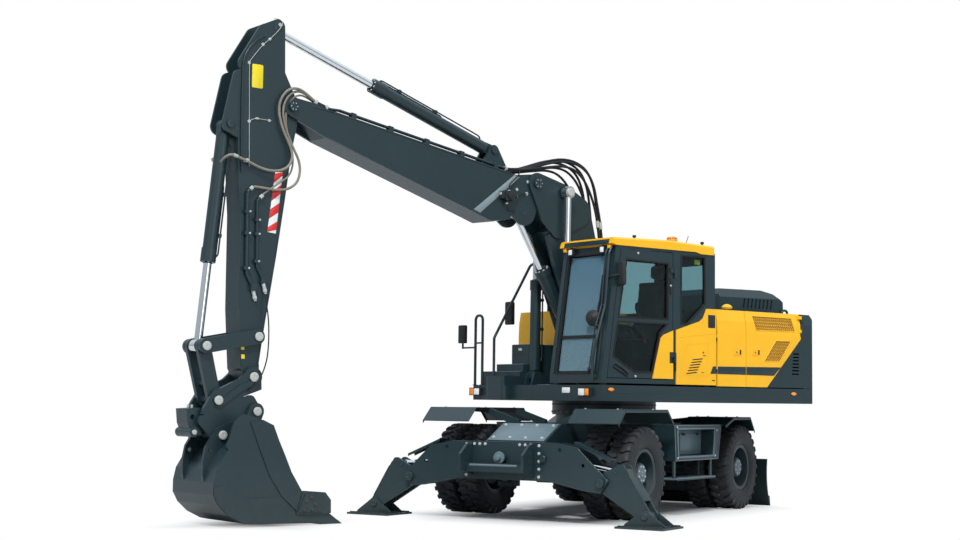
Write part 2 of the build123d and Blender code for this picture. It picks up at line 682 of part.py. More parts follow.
with BuildPart() as side_panels:
    front_panel(-1)
    rear_panel(-1)
    # Tank and tool box to the right of the boom
    tank_inner = boom_y - foot_width - 80
    wall([(-half_width, deck_top + seat), (tank_inner, deck_top + seat), (tank_inner, body_top),
          (-half_width + 39, body_top), (-half_width + 9, body_top - 135), (-half_width, body_shoulder)],
         panel_front + panel_play, 350)
    # Plate on the cab's side, with the hatch's groove and its louvres
    plate_low = cab_left + seat
    slab([(-12, cab_floor), (-12, 2188), (-398, 2304), (-458, 2343), (-518, 2461), (panel_front + 18, 2461),
          (panel_front + 18, cab_floor)], plate_low, plate_low + 12)
    inner_hatch = [(-180, 2002), (-526, 2036), (-518, 1653), (-101, 1657)]
    with BuildSketch(side(plate_low + 9)) as groove:
        with BuildLine():
            Polyline(*hatch, close=True)
        make_face()
        with BuildLine():
            Polyline(*inner_hatch, close=True)
        make_face(mode=Mode.SUBTRACT)
    extrude(groove.sketch, amount=-10, mode=Mode.SUBTRACT)
    for step in range(6):
        z = 1849 - 33 * step
        x = -279 + 20 * step
        slab([(x, z), (x - 176, z + 17), (x - 180, z + 3), (x - 4, z - 14)], plate_low - 5, plate_low + 20,
             Mode.SUBTRACT)
save(side_panels.part, "side_panels")

with BuildPart() as front_panel_door:
    front_panel(1)
    for z in front_hinge_z:
        block((panel_front - 30, half_width - 20, z + 41), (front_hinge[0], half_width - 3, z + 80))
        bar((*front_hinge, z + 41), (*front_hinge, z + 80), 6)
        bar((*front_hinge, z + 40), (*front_hinge, z + 82), 3 + pin_play, Mode.SUBTRACT)
save(front_panel_door.part, "front_panel_door")

with BuildPart() as rear_panel_door:
    rear_panel(1)
    for z in rear_hinge_z:
        bar((*rear_hinge, z - 5), (*rear_hinge, z + 41), 12, Mode.SUBTRACT)
        block((rear_hinge[0], half_width - 40, z + 41), (rear_hinge[0] + 50, rear_hinge[1] - 2, z + 80))
        bar((*rear_hinge, z + 41), (*rear_hinge, z + 80), 7)
        bar((*rear_hinge, z + 40), (*rear_hinge, z + 82), 3.5 + pin_play, Mode.SUBTRACT)
save(rear_panel_door.part, "rear_panel_door")

# Hood: bevelled shell, open below, with louvres in both sides
with BuildPart() as hood:
    crown = [(hood_front, body_top + seat), (hood_front - 5, 2720), (hood_front - 60, hood_top),
             (-2240, hood_top + 10),
             (-2440, 2765), (-2590, 2660), (-2600, body_top + seat)]
    slab(crown, -hood_half, hood_half)
    chamfer(hood.edges().filter_by(Axis.X, tolerance=8).group_by(Axis.Z)[-1], 70, 110)
    inside = [(hood_front - hood_wall, body_top - 5), (hood_front - hood_wall - 5, 2700),
              (hood_front - 72, hood_top - 30), (-2236, hood_top - 20), (-2430, 2740), (-2572, 2640),
              (-2580, body_top - 5)]
    slab(inside, -hood_half + 90, hood_half - 90, Mode.SUBTRACT)
    block((-2575, -hood_half + hood_wall, body_top - 5), (hood_front - hood_wall, hood_half - hood_wall,
                                                          2600),
          Mode.SUBTRACT)
    for sign in (1, -1):
        low, high = sorted((sign * (hood_half - 200), sign * (hood_half + 10)))
        for step in range(8):
            x = -1840 - 72 * step
            slab([(x, 2560), (x - 20, 2680), (x - 46, 2680), (x - 26, 2560)], low, high, Mode.SUBTRACT)
    for sign in (1, -1):
        low, high = sorted((sign * (hood_half - 129), sign * (hood_half - 80)))
        block((hood_front - 10, low, hood_hinge[1] - 10), (hood_hinge[0], high, hood_hinge[1] + 10))
        drum(hood_hinge, 12.0, low, high)
        drum(hood_hinge, 6.0 + pin_play, low - 5, high + 5, Mode.SUBTRACT)
save(hood.part, "hood")

with BuildPart() as engine:
    block((-2050, -330, deck_top + seat), (-1150, 330, 2250))
save(engine.part, "engine")

# Boxes with steps to the right of the boom, each as (front, right side, left side, low, high)
with BuildPart() as step_boxes:
    for front, right, left, low, high in (
        (1000, -1180, -425, deck_top + seat, 1690), (950, -950, -425, 1690, 1780),
        (860, -760, -425, 1780, 2025),
    ):
        block((350 + seat, right, low), (front, left, high))
    # Rounded box that hangs over the deck's front
    with BuildSketch(Plane.XY.offset(1350)) as face:
        with Locations((deck_front + seat + 60, -580)):
            Rectangle(120, 360)
        fillet(face.vertices().group_by(Axis.X)[-1], 55)
    extrude(face.sketch, amount=280)
    block((990, -760, deck_top + seat), (deck_front + 100, -400, 1630))
save(step_boxes.part, "step_boxes")

# Cab: hollow shell with pillars, separate roof, glass and door
front_low = deck_front - 9.0
front_high = front_low - 211.0
sill = 1640.0


def front_x(z):
    # Outer face of the windscreen at height z
    if z <= sill:
        return front_low
    return front_low + (front_high - front_low) * (z - sill) / (cab_eaves - sill)


def leaning(rear, low, high, inset):
    # Outline in X and Z, from a plumb rear edge to the leaning windscreen
    return [(rear, low), (front_x(low) - inset, low), (front_x(high) - inset, high), (rear, high)]


door_rear = 30.0
door_low = 1600.0
door_high = 3105.0
door_play = 8.0
door_hinge = (door_rear - 22.0, cab_left + 16.0)
window_low = 2262.0
window_high = 3085.0
screen = (cab_right + 105.0, cab_left - 125.0)
rear_window = [(-98, window_low), (-98, window_high), (-500, window_high), (-508, 2515), (-205, window_low)]
with BuildPart() as cab_shell:
    slab([(cab_rear, cab_floor), (front_low, cab_floor), (front_low, sill), (front_high, cab_eaves),
          (cab_rear, cab_eaves)], cab_right, cab_left)
    slab([(cab_rear + cab_wall, cab_floor + cab_wall), (front_low - cab_wall, cab_floor + cab_wall),
          (front_low - cab_wall, sill), (front_x(cab_eaves + 60) - cab_wall, cab_eaves + 60),
          (cab_rear + cab_wall, cab_eaves + 60)], cab_right + cab_wall, cab_left - cab_wall, Mode.SUBTRACT)
    # Windscreen opening between the front pillars
    slab([(front_x(1660) - 200, 1660), (front_x(1660) + 50, 1660), (front_x(3050) + 50, 3050),
          (front_x(3050) - 200, 3050)], *screen, Mode.SUBTRACT)
    # Door opening, rear side window, right window and rear window
    slab(leaning(door_rear, door_low, door_high, 75), cab_left - cab_wall - 10, cab_left + 10, Mode.SUBTRACT)
    slab(rear_window, cab_left - cab_wall - 10, cab_left + 10, Mode.SUBTRACT)
    slab([(-560, 2050), (-560, window_high), (front_x(window_high) - 100, window_high),
          (front_x(2050) - 100, 2050)],
         cab_right - 10, cab_right + cab_wall + 10, Mode.SUBTRACT)
    wall([(cab_right + 100, 2450), (cab_left - 100, 2450), (cab_left - 100, 3030), (cab_right + 100, 3030)],
         cab_rear - 10, cab_rear + cab_wall + 10, Mode.SUBTRACT)
    # Hinge eyes on the rear door post
    for z in (1800, 2800):
        block((door_rear - 34, cab_left - 5, z), (door_rear - 10, cab_left + 6, z + 60))
        bar((*door_hinge, z), (*door_hinge, z + 60), 14)
        bar((*door_hinge, z + 55), (*door_hinge, z + 118), 8)
    # Pressed frame round the windscreen
    for low, high in ((screen[0] - 60, screen[0] - 30), (screen[1] + 30, screen[1] + 60)):
        slab([(front_x(1660) - 5, 1660), (front_x(1660) + 10, 1660), (front_x(3050) + 10, 3050),
              (front_x(3050) - 5, 3050)], low, high)
save(cab_shell.part, "cab_shell")

# Roof: thin shell that reaches over the windscreen, its rear end dipping
roof_front = front_high + 62.0
with BuildPart() as cab_roof:
    roof = [(roof_front, cab_eaves + 18), (roof_front - 20, cab_roof_top - 22), (150, cab_roof_top),
            (cab_rear, cab_roof_top - 25), (cab_rear - 16, cab_eaves - 20), (-423, cab_eaves - 20),
            (-339, cab_eaves + seat), (front_high, cab_eaves + seat)]
    slab(roof, cab_right - 12, cab_left + 12)
    chamfer(cab_roof.edges().filter_by(Axis.X, tolerance=4).group_by(Axis.Z)[-1], 22)
    fillet(cab_roof.edges().filter_by(Axis.Z, tolerance=14), 60)
    slab([(cab_rear - 2, cab_eaves - 60), (front_high - 60, cab_eaves - 60),
          (front_high - 60, cab_roof_top - 50),
          (cab_rear - 2, cab_roof_top - 60)], cab_right - 2, cab_left + 2, Mode.SUBTRACT)
save(cab_roof.part, "cab_roof")

glass = 6.0
with BuildPart() as cab_glass:
    for low, high in ((1660, 2080), (2092, 3050)):
        slab([(front_x(low + seat) - 30, low + seat), (front_x(low + seat) - 30 + glass, low + seat),
              (front_x(high - seat) - 30 + glass, high - seat), (front_x(high - seat) - 30, high - seat)],
             screen[0] + seat, screen[1] - seat)
    slab([(-98 - seat, window_low + seat), (-98 - seat, window_high - seat),
          (-500 + seat, window_high - seat),
          (-508 + seat, 2515), (-205, window_low + seat)], cab_left - 25, cab_left - 25 + glass)
    slab([(-560 + seat, 2050 + seat), (-560 + seat, window_high - seat),
          (front_x(window_high) - 100 - seat, window_high - seat), (front_x(2050) - 100 - seat, 2050 + seat)],
         cab_right + 20, cab_right + 20 + glass)
    wall([(cab_right + 100 + seat, 2450 + seat), (cab_left - 100 - seat, 2450 + seat),
          (cab_left - 100 - seat, 3030 - seat), (cab_right + 100 + seat, 3030 - seat)], cab_rear + 20,
         cab_rear + 20 + glass)
save(cab_glass.part, "cab_glass")

# Door panes: the lower one has a cut front corner and follows the yellow plate behind
upper_pane = [(110, 2306), (front_x(2306) - 155, 2306), (front_x(2970) - 185, 2985), (110, 2970)]
lower_pane = [(118, 2255), (234, 2142), (350, 1680), (640, 1672), (front_x(1853) - 140, 1850),
              (front_x(2255) - 155, 2255)]


def pane(outline, gap, low_y, high_y):
    # Glass of an opening's outline, smaller by a gap all round
    with BuildSketch(side(low_y)) as face:
        with BuildLine():
            Polyline(*outline, close=True)
        make_face()
        offset(amount=-gap, kind=Kind.INTERSECTION)
    extrude(face.sketch, amount=low_y - high_y)


with BuildPart() as cab_door:
    slab(leaning(door_rear + door_play, door_low + door_play, door_high - door_play, 75 + door_play),
         cab_left - cab_wall, cab_left)
    for opening in (upper_pane, lower_pane):
        slab(opening, cab_left - cab_wall - 10, cab_left + 10, Mode.SUBTRACT)
    for z in (1862, 2862):
        block((door_hinge[0], cab_left + 6, z), (door_rear + 60, cab_left + 16, z + 55))
        block((door_rear + 20, cab_left - 5, z), (door_rear + 60, cab_left + 16, z + 55))
        bar((*door_hinge, z), (*door_hinge, z + 55), 14)
        bar((*door_hinge, z - 5), (*door_hinge, z + 60), 8 + pin_play, Mode.SUBTRACT)
    # Handle in its slot at the low front corner
    slab([(985, 1752), (960, 1712), (753, 1616), (740, 1650), (800, 1700), (940, 1768)], cab_left - 20,
         cab_left + 10,
         Mode.SUBTRACT)
    bar((965, cab_left - 4, 1728), (775, cab_left - 4, 1640), 13)
    slab([(965, 1735), (975, 1718), (785, 1625), (770, 1640)], cab_left - 30, cab_left - 10)
save(cab_door.part, "cab_door")

with BuildPart() as door_panel:
    slab([(door_rear + door_play, 1608), (366, 1608), (328, 1762), (238, 2085), (190, 2124),
          (door_rear + door_play, 2178)], plate_low, plate_low + 12)
    block((door_rear - 40, plate_low - 5, 1792), (door_rear + 66, plate_low + 20, 1924), Mode.SUBTRACT)
save(door_panel.part, "door_panel")

with BuildPart() as door_glass:
    for opening in (upper_pane, lower_pane):
        pane(opening, seat, cab_left - 30, cab_left - 30 + glass)
save(door_glass.part, "door_glass")

cab_mid = (cab_right + cab_left) / 2
floor_top = cab_floor + cab_wall
with BuildPart() as seat_pad:
    slab([(20, 2078.5), (520, 2058.5), (540, 2180), (30, 2190)], cab_mid - 250, cab_mid + 250)
    slab([(-60, 2150), (30, 2191), (-60, 2800), (-170, 2790)], cab_mid - 240, cab_mid + 240)
save(seat_pad.part, "seat")

with BuildPart() as controls:
    block((40, cab_mid - 180, floor_top + seat), (440, cab_mid + 180, 1850))
    slab([(0, 1850), (480, 1850), (500, 2059), (0, 2079)], cab_mid - 230, cab_mid + 230)
    for sign in (1, -1):
        low, high = sorted((cab_mid + sign * 260, cab_mid + sign * 360))
        slab([(-50, 2080), (420, 2080), (520, 2200), (420, 2300), (-50, 2240)], low, high)
        bar((440, cab_mid + sign * 310, 2230), (460, cab_mid + sign * 310, 2420), 22)
        low, high = sorted((cab_mid + sign * 220, cab_mid + sign * 340))
        block((100, low, 1900), (300, high, 2040))
        low, high = sorted((cab_mid + sign * 262, cab_mid + sign * 340))
        block((100, low, 1900), (300, high, 2090))
    block((860, cab_mid - 60, floor_top + seat), (980, cab_mid + 60, floor_top + 60))
    bar((920, cab_mid, floor_top + 30), (736, cab_mid, 2318), 45)
    with BuildSketch(Plane(origin=(735, cab_mid, 2310), z_dir=(-0.33, 0, 0.94))) as wheel:
        Circle(190)
        Circle(160, mode=Mode.SUBTRACT)
        Rectangle(330, 40)
    extrude(wheel.sketch, amount=24)
save(controls.part, "controls")

def tube(points, radius, bend):
    # Round tube along a polyline whose corners are bent to a radius
    with BuildLine() as path:
        FilletPolyline(*points, radius=bend)
    with BuildSketch(Plane(origin=path.line @ 0, z_dir=path.line % 0)) as ring:
        Circle(radius)
    sweep(ring.sketch, path=path.line)


# Handrails and mirrors on the upper frame
rail_radius = 17.0
loop_x = deck_front - 26.0
rail_y = -791.0
with BuildPart() as handrails:
    tube([(loop_x, -1155, deck_top + seat), (loop_x, -1155, 2391), (loop_x, -1010, 2391),
          (loop_x, -1010, deck_top + seat)], rail_radius, 60)
    bar((loop_x, -1155, 2048), (loop_x, -1010, 2048), 11)
    tube([(1120, rail_y, deck_top + seat), (1120, rail_y, 2105), (540, rail_y, 3060), (250, rail_y, 3060),
          (250, rail_y, body_top + seat)], rail_radius, 90)
    # Two tubes in front of the cab's left pillar, bent in to the deck
    pillar = cab_left - 50
    tube([(roof_front - 40, pillar, cab_eaves - 12), (roof_front + 5, pillar, 3040), (1060, pillar, 2441),
          (1192, pillar, 2040), (1188, pillar - 70, 1800), (1188, pillar - 70,
                                                            deck_top + 60)], rail_radius, 50)
    bar((1188, pillar - 70, deck_top + 75), (front_low + seat, pillar - 70, deck_top + 75), 14)
    tube([(roof_front - 40, pillar - 60, cab_eaves - 12), (roof_front + 5, pillar - 60, 3040),
          (1060, pillar - 60, 2441), (1150, pillar - 60, 2190)], 12, 50)
    for x, z in ((1060, 2441),):
        bar((x, pillar, z), (x, pillar - 60, z), 11)
    bar((1150, pillar - 60, 2200), (1150, pillar, 2200), 11)
    # Mirrors: arm and head on the loop and on the long rail
    bar((loop_x, -1160, 1992), (loop_x, -1420, 1992), 11)
    bar((loop_x, -1420, 1980), (loop_x, -1420, 2070), 13)
    block((loop_x - 18, -1480, 2055), (loop_x + 18, -1360, 2275))
    bar((815, rail_y - 5, 2607), (800, -875, 2555), 11)
    block((770, -945, 2290), (815, -835, 2565))
    # Round mirror on the left tube
    bar((1110, pillar, 2285), (1095, pillar - 150, 2290), 9)
    bar((1075, pillar - 175, 2292), (1097, pillar - 165, 2292), 88)
save(handrails.part, "handrails")

# Lamps in the deck's front, work lamps under the roof and the beacon
with BuildPart() as lamps:
    for y, z in ((990, 1441), (-1070, 1441)):
        block((deck_front + seat, y - 105, z - 48), (deck_front + 40, y + 105, z + 48))
    for y in (cab_right + 180, cab_left - 180):
        block((roof_front - 42, y - 38, cab_eaves - 80), (roof_front - 2, y + 38, cab_eaves - 8))
        bar((roof_front - 22, y, cab_eaves - 10), (roof_front - 22, y, cab_eaves + 8.5), 10)
    with BuildSketch(Plane.XY.offset(cab_roof_top - 8)):
        with Locations((-180, cab_left - 240)):
            Circle(62)
    extrude(amount=70)
save(lamps.part, "lamps")

# Lower boom: box that widens upwards, forked head for the upper boom
with BuildPart() as lower_boom:
    body = [(60, 1900), (-60, 2150), (275, 3330), (360, 3640), (600, 3840), (740, 3800), (880, 3440),
            (1040, 3320),
            (905, 2910), (540, 2050), (330, 1850)]
    slab(body, boom_y - boom_half + boom_cheek, boom_y + boom_half - boom_cheek)
    link([(*foot_pin, 125.0), (240, 2150, 180.0)], boom_y - boom_half + boom_cheek,
         boom_y + boom_half - boom_cheek)
    drum(foot_pin, 125.0, boom_y - boom_half, boom_y + boom_half)
    # Pocket for the adjusting cylinder
    slab([(430, 2170), (330, 2330), (1150, 3700), (1500, 3700), (760, 2200), (600, 2040)],
         boom_y - adjust_pocket,
         boom_y + adjust_pocket, Mode.SUBTRACT)
    drum(foot_pin, 55.0 + pin_play, boom_y - boom_half, boom_y + boom_half, Mode.SUBTRACT)
    for sign in (1, -1):
        low, high = sorted((boom_y + sign * (boom_half - boom_cheek), boom_y + sign * boom_half))
        link([(*main_pin, 130.0), (*lift_eye, 110.0), (560, 3640, 180.0), (900, 3400, 110.0),
              (1060, 3560, 110.0)],
             low, high)
    drum(main_pin, 60.0, boom_y - boom_half - 20, boom_y + boom_half + 20)
    drum(adjust_base, 32.0, boom_y - adjust_pocket - 20, boom_y + adjust_pocket + 20)
save(lower_boom.part, "lower_boom")

# Upper boom: long box, fork at the arm, cheeks round the adjusting cylinder's eye
nose = 175.0
with BuildPart() as upper_boom:
    shell = [(1527, 4009), (4072, 4463), (4380, 4500), (4420, 4380), (4192, 4165), (2199, 3528), (1900, 3430),
             (1620, 3470), (1480, 3800)]
    slab(shell, boom_y - arm_half - 40, boom_y + arm_half + 40)
    for sign in (1, -1):
        low, high = sorted((boom_y + sign * (arm_half + 8), boom_y + sign * (arm_half + 40)))
        link([(*main_pin, 115.0), (1527, 3895, 113.0), (1620, 3700, 120.0), (*adjust_eye, 165.0)], low, high)
        link([(*arm_pin, 105.0), (4300, 4400, 120.0), (4150, 4310, 150.0)], low, high)
    drum(main_pin, 60.0 + pin_play, boom_y - boom_half, boom_y + boom_half, Mode.SUBTRACT)
    drum(arm_pin, 48.0, boom_y - arm_half - 70, boom_y + arm_half + 70)
    for sign in (1, -1):
        low, high = sorted((boom_y + sign * 64, boom_y + sign * 94))
        link([(*arm_base, 70.0), (1600, 4020, 30.0), (1960, 4070, 30.0)], low, high)
    drum(arm_base, 36.0, boom_y - 112, boom_y + 112)
    # Pipes along the top, held by clamps
    for shift in (-160, -128, 128, 160):
        y = boom_y + shift
        bar((1680, y, 4074), (4010, y, 4490), 13)
        bar((4010, y, 4490), (4180, y, 4490), 13)
    for start in (1800, 2300, 2800, 3300, 3800):
        for sign in (1, -1):
            low, high = sorted((boom_y + sign * 108, boom_y + sign * 178))
            slope = (4490 - 4074) / (4010 - 1680)
            height = 4074 + (start - 1680) * slope
            slab([(start, height - 50), (start, height + 20), (start + 60, height + 20 + 60 * slope),
                  (start + 60, height - 50)], low, high)
    # Valve block on the left side
    block((1600, boom_y + arm_half + 35, 3690), (1740, boom_y + arm_half + 110, 3800))
save(upper_boom.part, "upper_boom")

# Arm: tapered box, open cheeks at the top for the arm cylinder and in front for the bucket cylinder
cheek = 26.0
with BuildPart() as arm:
    shell = [(4700, 4820), (5190, 4820), (5256, 4600), (5256, 3875), (5208, 3258), (5203, 2252), (5163, 1627),
             (5120, 1560), (4951, 1632), (4879, 2132), (4765, 2816), (4672, 3439), (4600, 3982), (4540, 4266),
             (4560, 4560)]
    slab(shell, boom_y - arm_half, boom_y + arm_half)
    for sign in (1, -1):
        low, high = sorted((boom_y + sign * (arm_half - cheek), boom_y + sign * arm_half))
        link([(*arm_eye, 85.0), (4960, 5230, 85.0), (5180, 4860, 90.0), (4760, 4800, 60.0)], low, high)
        link([(*bucket_base, 95.0), (5240, 4700, 90.0), (5200, 4100, 60.0)], low, high)
    link([(*tip_pin, 95.0), (5050, 1660, 110.0)], boom_y - arm_half, boom_y + arm_half)
    drum(arm_pin, 130.0, boom_y - arm_half, boom_y + arm_half)
    drum(arm_pin, 48.0 + pin_play, boom_y - arm_half - 10, boom_y + arm_half + 10, Mode.SUBTRACT)
    drum(bucket_base, 40.0, boom_y - arm_half - 14, boom_y + arm_half + 14)
    drum(rocker_pin, 42.0, boom_y - arm_half - 75, boom_y + arm_half + 75)
    drum(tip_pin, 45.0, boom_y - arm_half - 75, boom_y + arm_half + 75)
    # Service pipes with clamps and couplings on both sides, columns: x, top, bottom, radius
    for sign in (1, -1):
        y = boom_y + sign * (arm_half + 24)
        for x, top, bottom, radius in ((5142, 3480, 2620, 19.0), (5022, 3400, 2700, 13.0)):
            bar((x, y, top), (x - 14, y, bottom), radius)
            bar((x - 14, y, bottom), (x - 80, y, bottom - 110), radius)
            bar((x, y, top), (x - 40, y, top + 40), radius)
            low, high = sorted((y - sign * 30, y + sign * (radius + 6)))
            for z in (top - 200, (top + bottom) / 2, bottom + 60):
                block((x - radius - 22, low, z - 18), (x + radius + 10, high, z + 18))
            block((x - 130, low, bottom - 175), (x - 62, high, bottom - 95))
save(arm.part, "arm")

# Rockers and push link of the bucket linkage
link_in = arm_half + 10.0
link_out = link_in + 42.0
with BuildPart() as rockers:
    for sign in (1, -1):
        low, high = sorted((boom_y + sign * link_in, boom_y + sign * link_out))
        link([(*rocker_pin, 78.0), (*bucket_eye, 78.0)], low, high)
        drum(rocker_pin, 42.0 + pin_play, low - 5, high + 5, Mode.SUBTRACT)
        low, high = sorted((boom_y + sign * link_out, boom_y + sign * (link_out + 20)))
        drum(bucket_eye, 42.0, low, high)
save(rockers.part, "rockers")

with BuildPart() as push_link:
    for sign in (1, -1):
        low, high = sorted((boom_y + sign * 88, boom_y + sign * (link_in - 8)))
        link([(*bucket_eye, 78.0), (*push_pin, 74.0)], low, high)
    drum(along(push_pin, bucket_eye, 190), 40.0, boom_y - 100, boom_y + 100)
    drum(push_pin, 42.0 + pin_play, boom_y - link_in, boom_y + link_in, Mode.SUBTRACT)
save(push_link.part, "push_link")

# Quick coupler between the arm and the bucket
coupler_half = link_out
with BuildPart() as coupler:
    for sign in (1, -1):
        low, high = sorted((boom_y + sign * link_in, boom_y + sign * link_out))
        slab([(4935, 1510), (4930, 1410), (5132, 1339), (5328, 1206), (5396, 1143), (5625, 1150),
              (5600, 1215),
              (5488, 1397), (5390, 1430), (5194, 1521), (5080, 1625)], low, high)
        drum(tip_pin, 104.0, low, high)
        drum(tip_pin, 45.0 + pin_play, low - 5, high + 5, Mode.SUBTRACT)
        link([(5060, 1290, 60.0), (*hook_pin, 80.0), (*ear_pin, 80.0), (5600, 1080, 60.0)], low, high)
        low, high = sorted((boom_y + sign * link_out, boom_y + sign * (link_out + 16)))
        slab([(5010, 1465), (5150, 1405), (5340, 1275), (5420, 1215), (5480, 1225), (5370, 1330),
              (5180, 1465),
              (5060, 1500)], low, high)
    for pin in (hook_pin, ear_pin):
        drum(pin, 40.0 + pin_play, boom_y - link_out - 5, boom_y + link_out + 5, Mode.SUBTRACT)
    drum(push_pin, 42.0, boom_y - link_out - 34, boom_y + link_out + 34)
    slab([(5170, 1190), (5280, 1200), (5590, 1140), (5580, 1080), (5490, 1050), (5330, 1090)],
         boom_y - link_out,
         boom_y + link_out)
    # Locking block in front with its cylinder
    slab([(5560, 1150), (5600, 1215), (5760, 1205), (5745, 1060), (5690, 930), (5590, 930), (5560, 1000)],
         boom_y - 120, boom_y + 120)
    drum((5690, 1120), 26.0, boom_y - 130, boom_y + 130, Mode.SUBTRACT)
    drum((5690, 965), 50.0, boom_y - 165, boom_y + 165)
save(coupler.part, "coupler")

# Bucket: rolled back, flat floor, raised side plates, ears that run down the back, side cutters
bucket_wall = 22.0
side_wall = 25.0
ear_gap = link_out + 8.0
ear_thick = 40.0
back = [(4926, 1045), (5050, 1020), (5320, 855), (5440, 790), (5500, 710), (5575, 590), (5606, 460),
        (5606, 335), (5550, 233), (5434, 128), (5275, 50), (5200, 35)]
mouth = [(4574, 361), (4703, 559), (4781, 729), (4865, 899)]
with BuildPart() as bucket:
    slab(back + [(4090, 12), (4120, 44)] + mouth, boom_y - bucket_half, boom_y + bucket_half)
    cavity = [(4915, 1021), (5042, 998), (5306, 837), (5423, 774), (5482, 698), (5554, 582), (5584, 457),
              (5584, 341), (5534, 249), (5424, 149), (5268, 72), (5196, 57), (4100, 42), (3900, 60),
              (3900, 1200), (4800, 1100)]
    slab(cavity, boom_y - bucket_half + side_wall, boom_y + bucket_half - side_wall, Mode.SUBTRACT)
    for sign in (1, -1):
        # Raised top of the side plate
        low, high = sorted((boom_y + sign * (bucket_half - side_wall), boom_y + sign * bucket_half))
        slab([(4920, 1030), (5050, 1096), (5281, 1159), (5347, 1110), (5388, 1060), (5414, 986), (5432, 913),
              (5472, 827), (5430, 780), (5050, 1000)], low, high)
        # Stiffening strip along the mouth
        low, high = sorted((boom_y + sign * bucket_half, boom_y + sign * (bucket_half + 12)))
        slab([(4926, 1042), (5050, 1096), (5199, 1073), (5085, 800), (4963, 525), (4814, 311), (4605, 130),
              (4430, 130),
              (4574, 361), (4703, 559), (4781, 729), (4865, 899)], low, high)
        # Wear plate round the heel
        low, high = sorted((boom_y + sign * bucket_half, boom_y + sign * (bucket_half + 8)))
        slab([(5598, 415), (5495, 437), (5382, 349), (5213, 293), (4842, 301), (4640, 130), (4400, 22),
              (5200, 38),
              (5275, 53), (5430, 130), (5545, 236), (5602, 337)], low, high)
        # Side cutter with its bolted patch
        low, high = sorted((boom_y + sign * bucket_half, boom_y + sign * (bucket_half + 25)))
        slab([(4560, 361), (4291, 339), (4221, 258), (4218, 118), (4640, 118)], low, high)
        low, high = sorted((boom_y + sign * (bucket_half + 25), boom_y + sign * (bucket_half + 37)))
        slab([(4540, 330), (4440, 330), (4330, 140), (4620, 140)], low, high)
        # Ear: bosses on the coupler's pins, tapering down the back
        low, high = sorted((boom_y + sign * ear_gap, boom_y + sign * (ear_gap + ear_thick)))
        link([(*hook_pin, 88.0), (4990, 1050, 20.0), (5180, 940, 20.0)], low, high)
        link([(*ear_pin, 88.0), (5190, 940, 20.0), (5200, 1060, 50.0), (5430, 800, 20.0)], low, high)
        slab([(5440, 1010), (5504, 958), (5544, 896), (5591, 823), (5621, 675), (5623, 528), (5600, 440),
              (5560, 590),
              (5480, 700), (5400, 780)], low, high)
        drum((5548, 779), 20.0, low - 5, high + 5, Mode.SUBTRACT)
    for pin in (hook_pin, ear_pin):
        drum(pin, 40.0, boom_y - ear_gap - ear_thick - 24, boom_y + ear_gap + ear_thick + 24)
    # Cutting edge, thicker than the floor
    slab([(4060, 4), (4340, 4), (4380, 14), (4340, 46), (4120, 46)], boom_y - bucket_half,
         boom_y + bucket_half)
save(bucket.part, "bucket")

# Cylinders of the boom group
with BuildPart() as lift_barrels:
    barrel(lift_base, lift_eye, "Y", (boom_y - lift_y, boom_y + lift_y), 1190.0, 66.0, 42.0, 42.0 + pin_play,
           84.0)
save(lift_barrels.part, "lift_barrels")
with BuildPart() as lift_rods:
    rod(lift_base, lift_eye, "Y", (boom_y - lift_y, boom_y + lift_y), 960.0, 42.0, 72.0, 96.0, 12.0)
save(lift_rods.part, "lift_rods")

with BuildPart() as adjust_barrel:
    barrel(adjust_base, adjust_eye, "Y", (boom_y,), 784.0, 90.0, 43.0, 32.0 + pin_play, 180.0)
save(adjust_barrel.part, "adjust_barrel")
with BuildPart() as adjust_rod:
    rod(adjust_base, adjust_eye, "Y", (boom_y,), 560.0, 43.0, 72.0, 110.0, 12.0)
save(adjust_rod.part, "adjust_rod")

with BuildPart() as arm_barrel:
    barrel(arm_base, arm_eye, "Y", (boom_y,), 1790.0, 75.0, 45.0, 36.0 + pin_play, 110.0)
save(arm_barrel.part, "arm_barrel")
with BuildPart() as arm_rod:
    rod(arm_base, arm_eye, "Y", (boom_y,), 1300.0, 45.0, 80.0, 130.0, 20.0)
save(arm_rod.part, "arm_rod")

with BuildPart() as bucket_barrel:
    barrel(bucket_base, bucket_eye, "Y", (boom_y,), 1470.0, 72.0, 43.0, 40.0 + pin_play, 110.0)
save(bucket_barrel.part, "bucket_barrel")
with BuildPart() as bucket_rod:
    rod(bucket_base, bucket_eye, "Y", (boom_y,), 1180.0, 43.0, 72.0, 120.0, 18.0)
save(bucket_rod.part, "bucket_rod")
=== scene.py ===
import bpy
import bmesh
import json
import math
from mathutils import Euler, Matrix, Vector


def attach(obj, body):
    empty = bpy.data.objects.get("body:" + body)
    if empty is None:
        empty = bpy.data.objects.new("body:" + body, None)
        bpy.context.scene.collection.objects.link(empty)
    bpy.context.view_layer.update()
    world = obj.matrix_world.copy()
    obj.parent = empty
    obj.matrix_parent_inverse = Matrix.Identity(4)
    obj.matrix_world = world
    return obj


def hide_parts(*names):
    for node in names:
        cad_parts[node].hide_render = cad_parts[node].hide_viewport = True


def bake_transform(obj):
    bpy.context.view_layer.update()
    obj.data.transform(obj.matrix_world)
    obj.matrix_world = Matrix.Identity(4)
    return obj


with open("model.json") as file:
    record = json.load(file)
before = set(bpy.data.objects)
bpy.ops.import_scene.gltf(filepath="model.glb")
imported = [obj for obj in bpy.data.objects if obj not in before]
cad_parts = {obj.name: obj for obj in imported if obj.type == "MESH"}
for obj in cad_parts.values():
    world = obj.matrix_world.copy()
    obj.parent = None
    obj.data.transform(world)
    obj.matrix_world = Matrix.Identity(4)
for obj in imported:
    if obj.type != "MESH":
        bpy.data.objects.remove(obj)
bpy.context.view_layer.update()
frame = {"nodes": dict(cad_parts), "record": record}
print("frame loaded")


# Materials

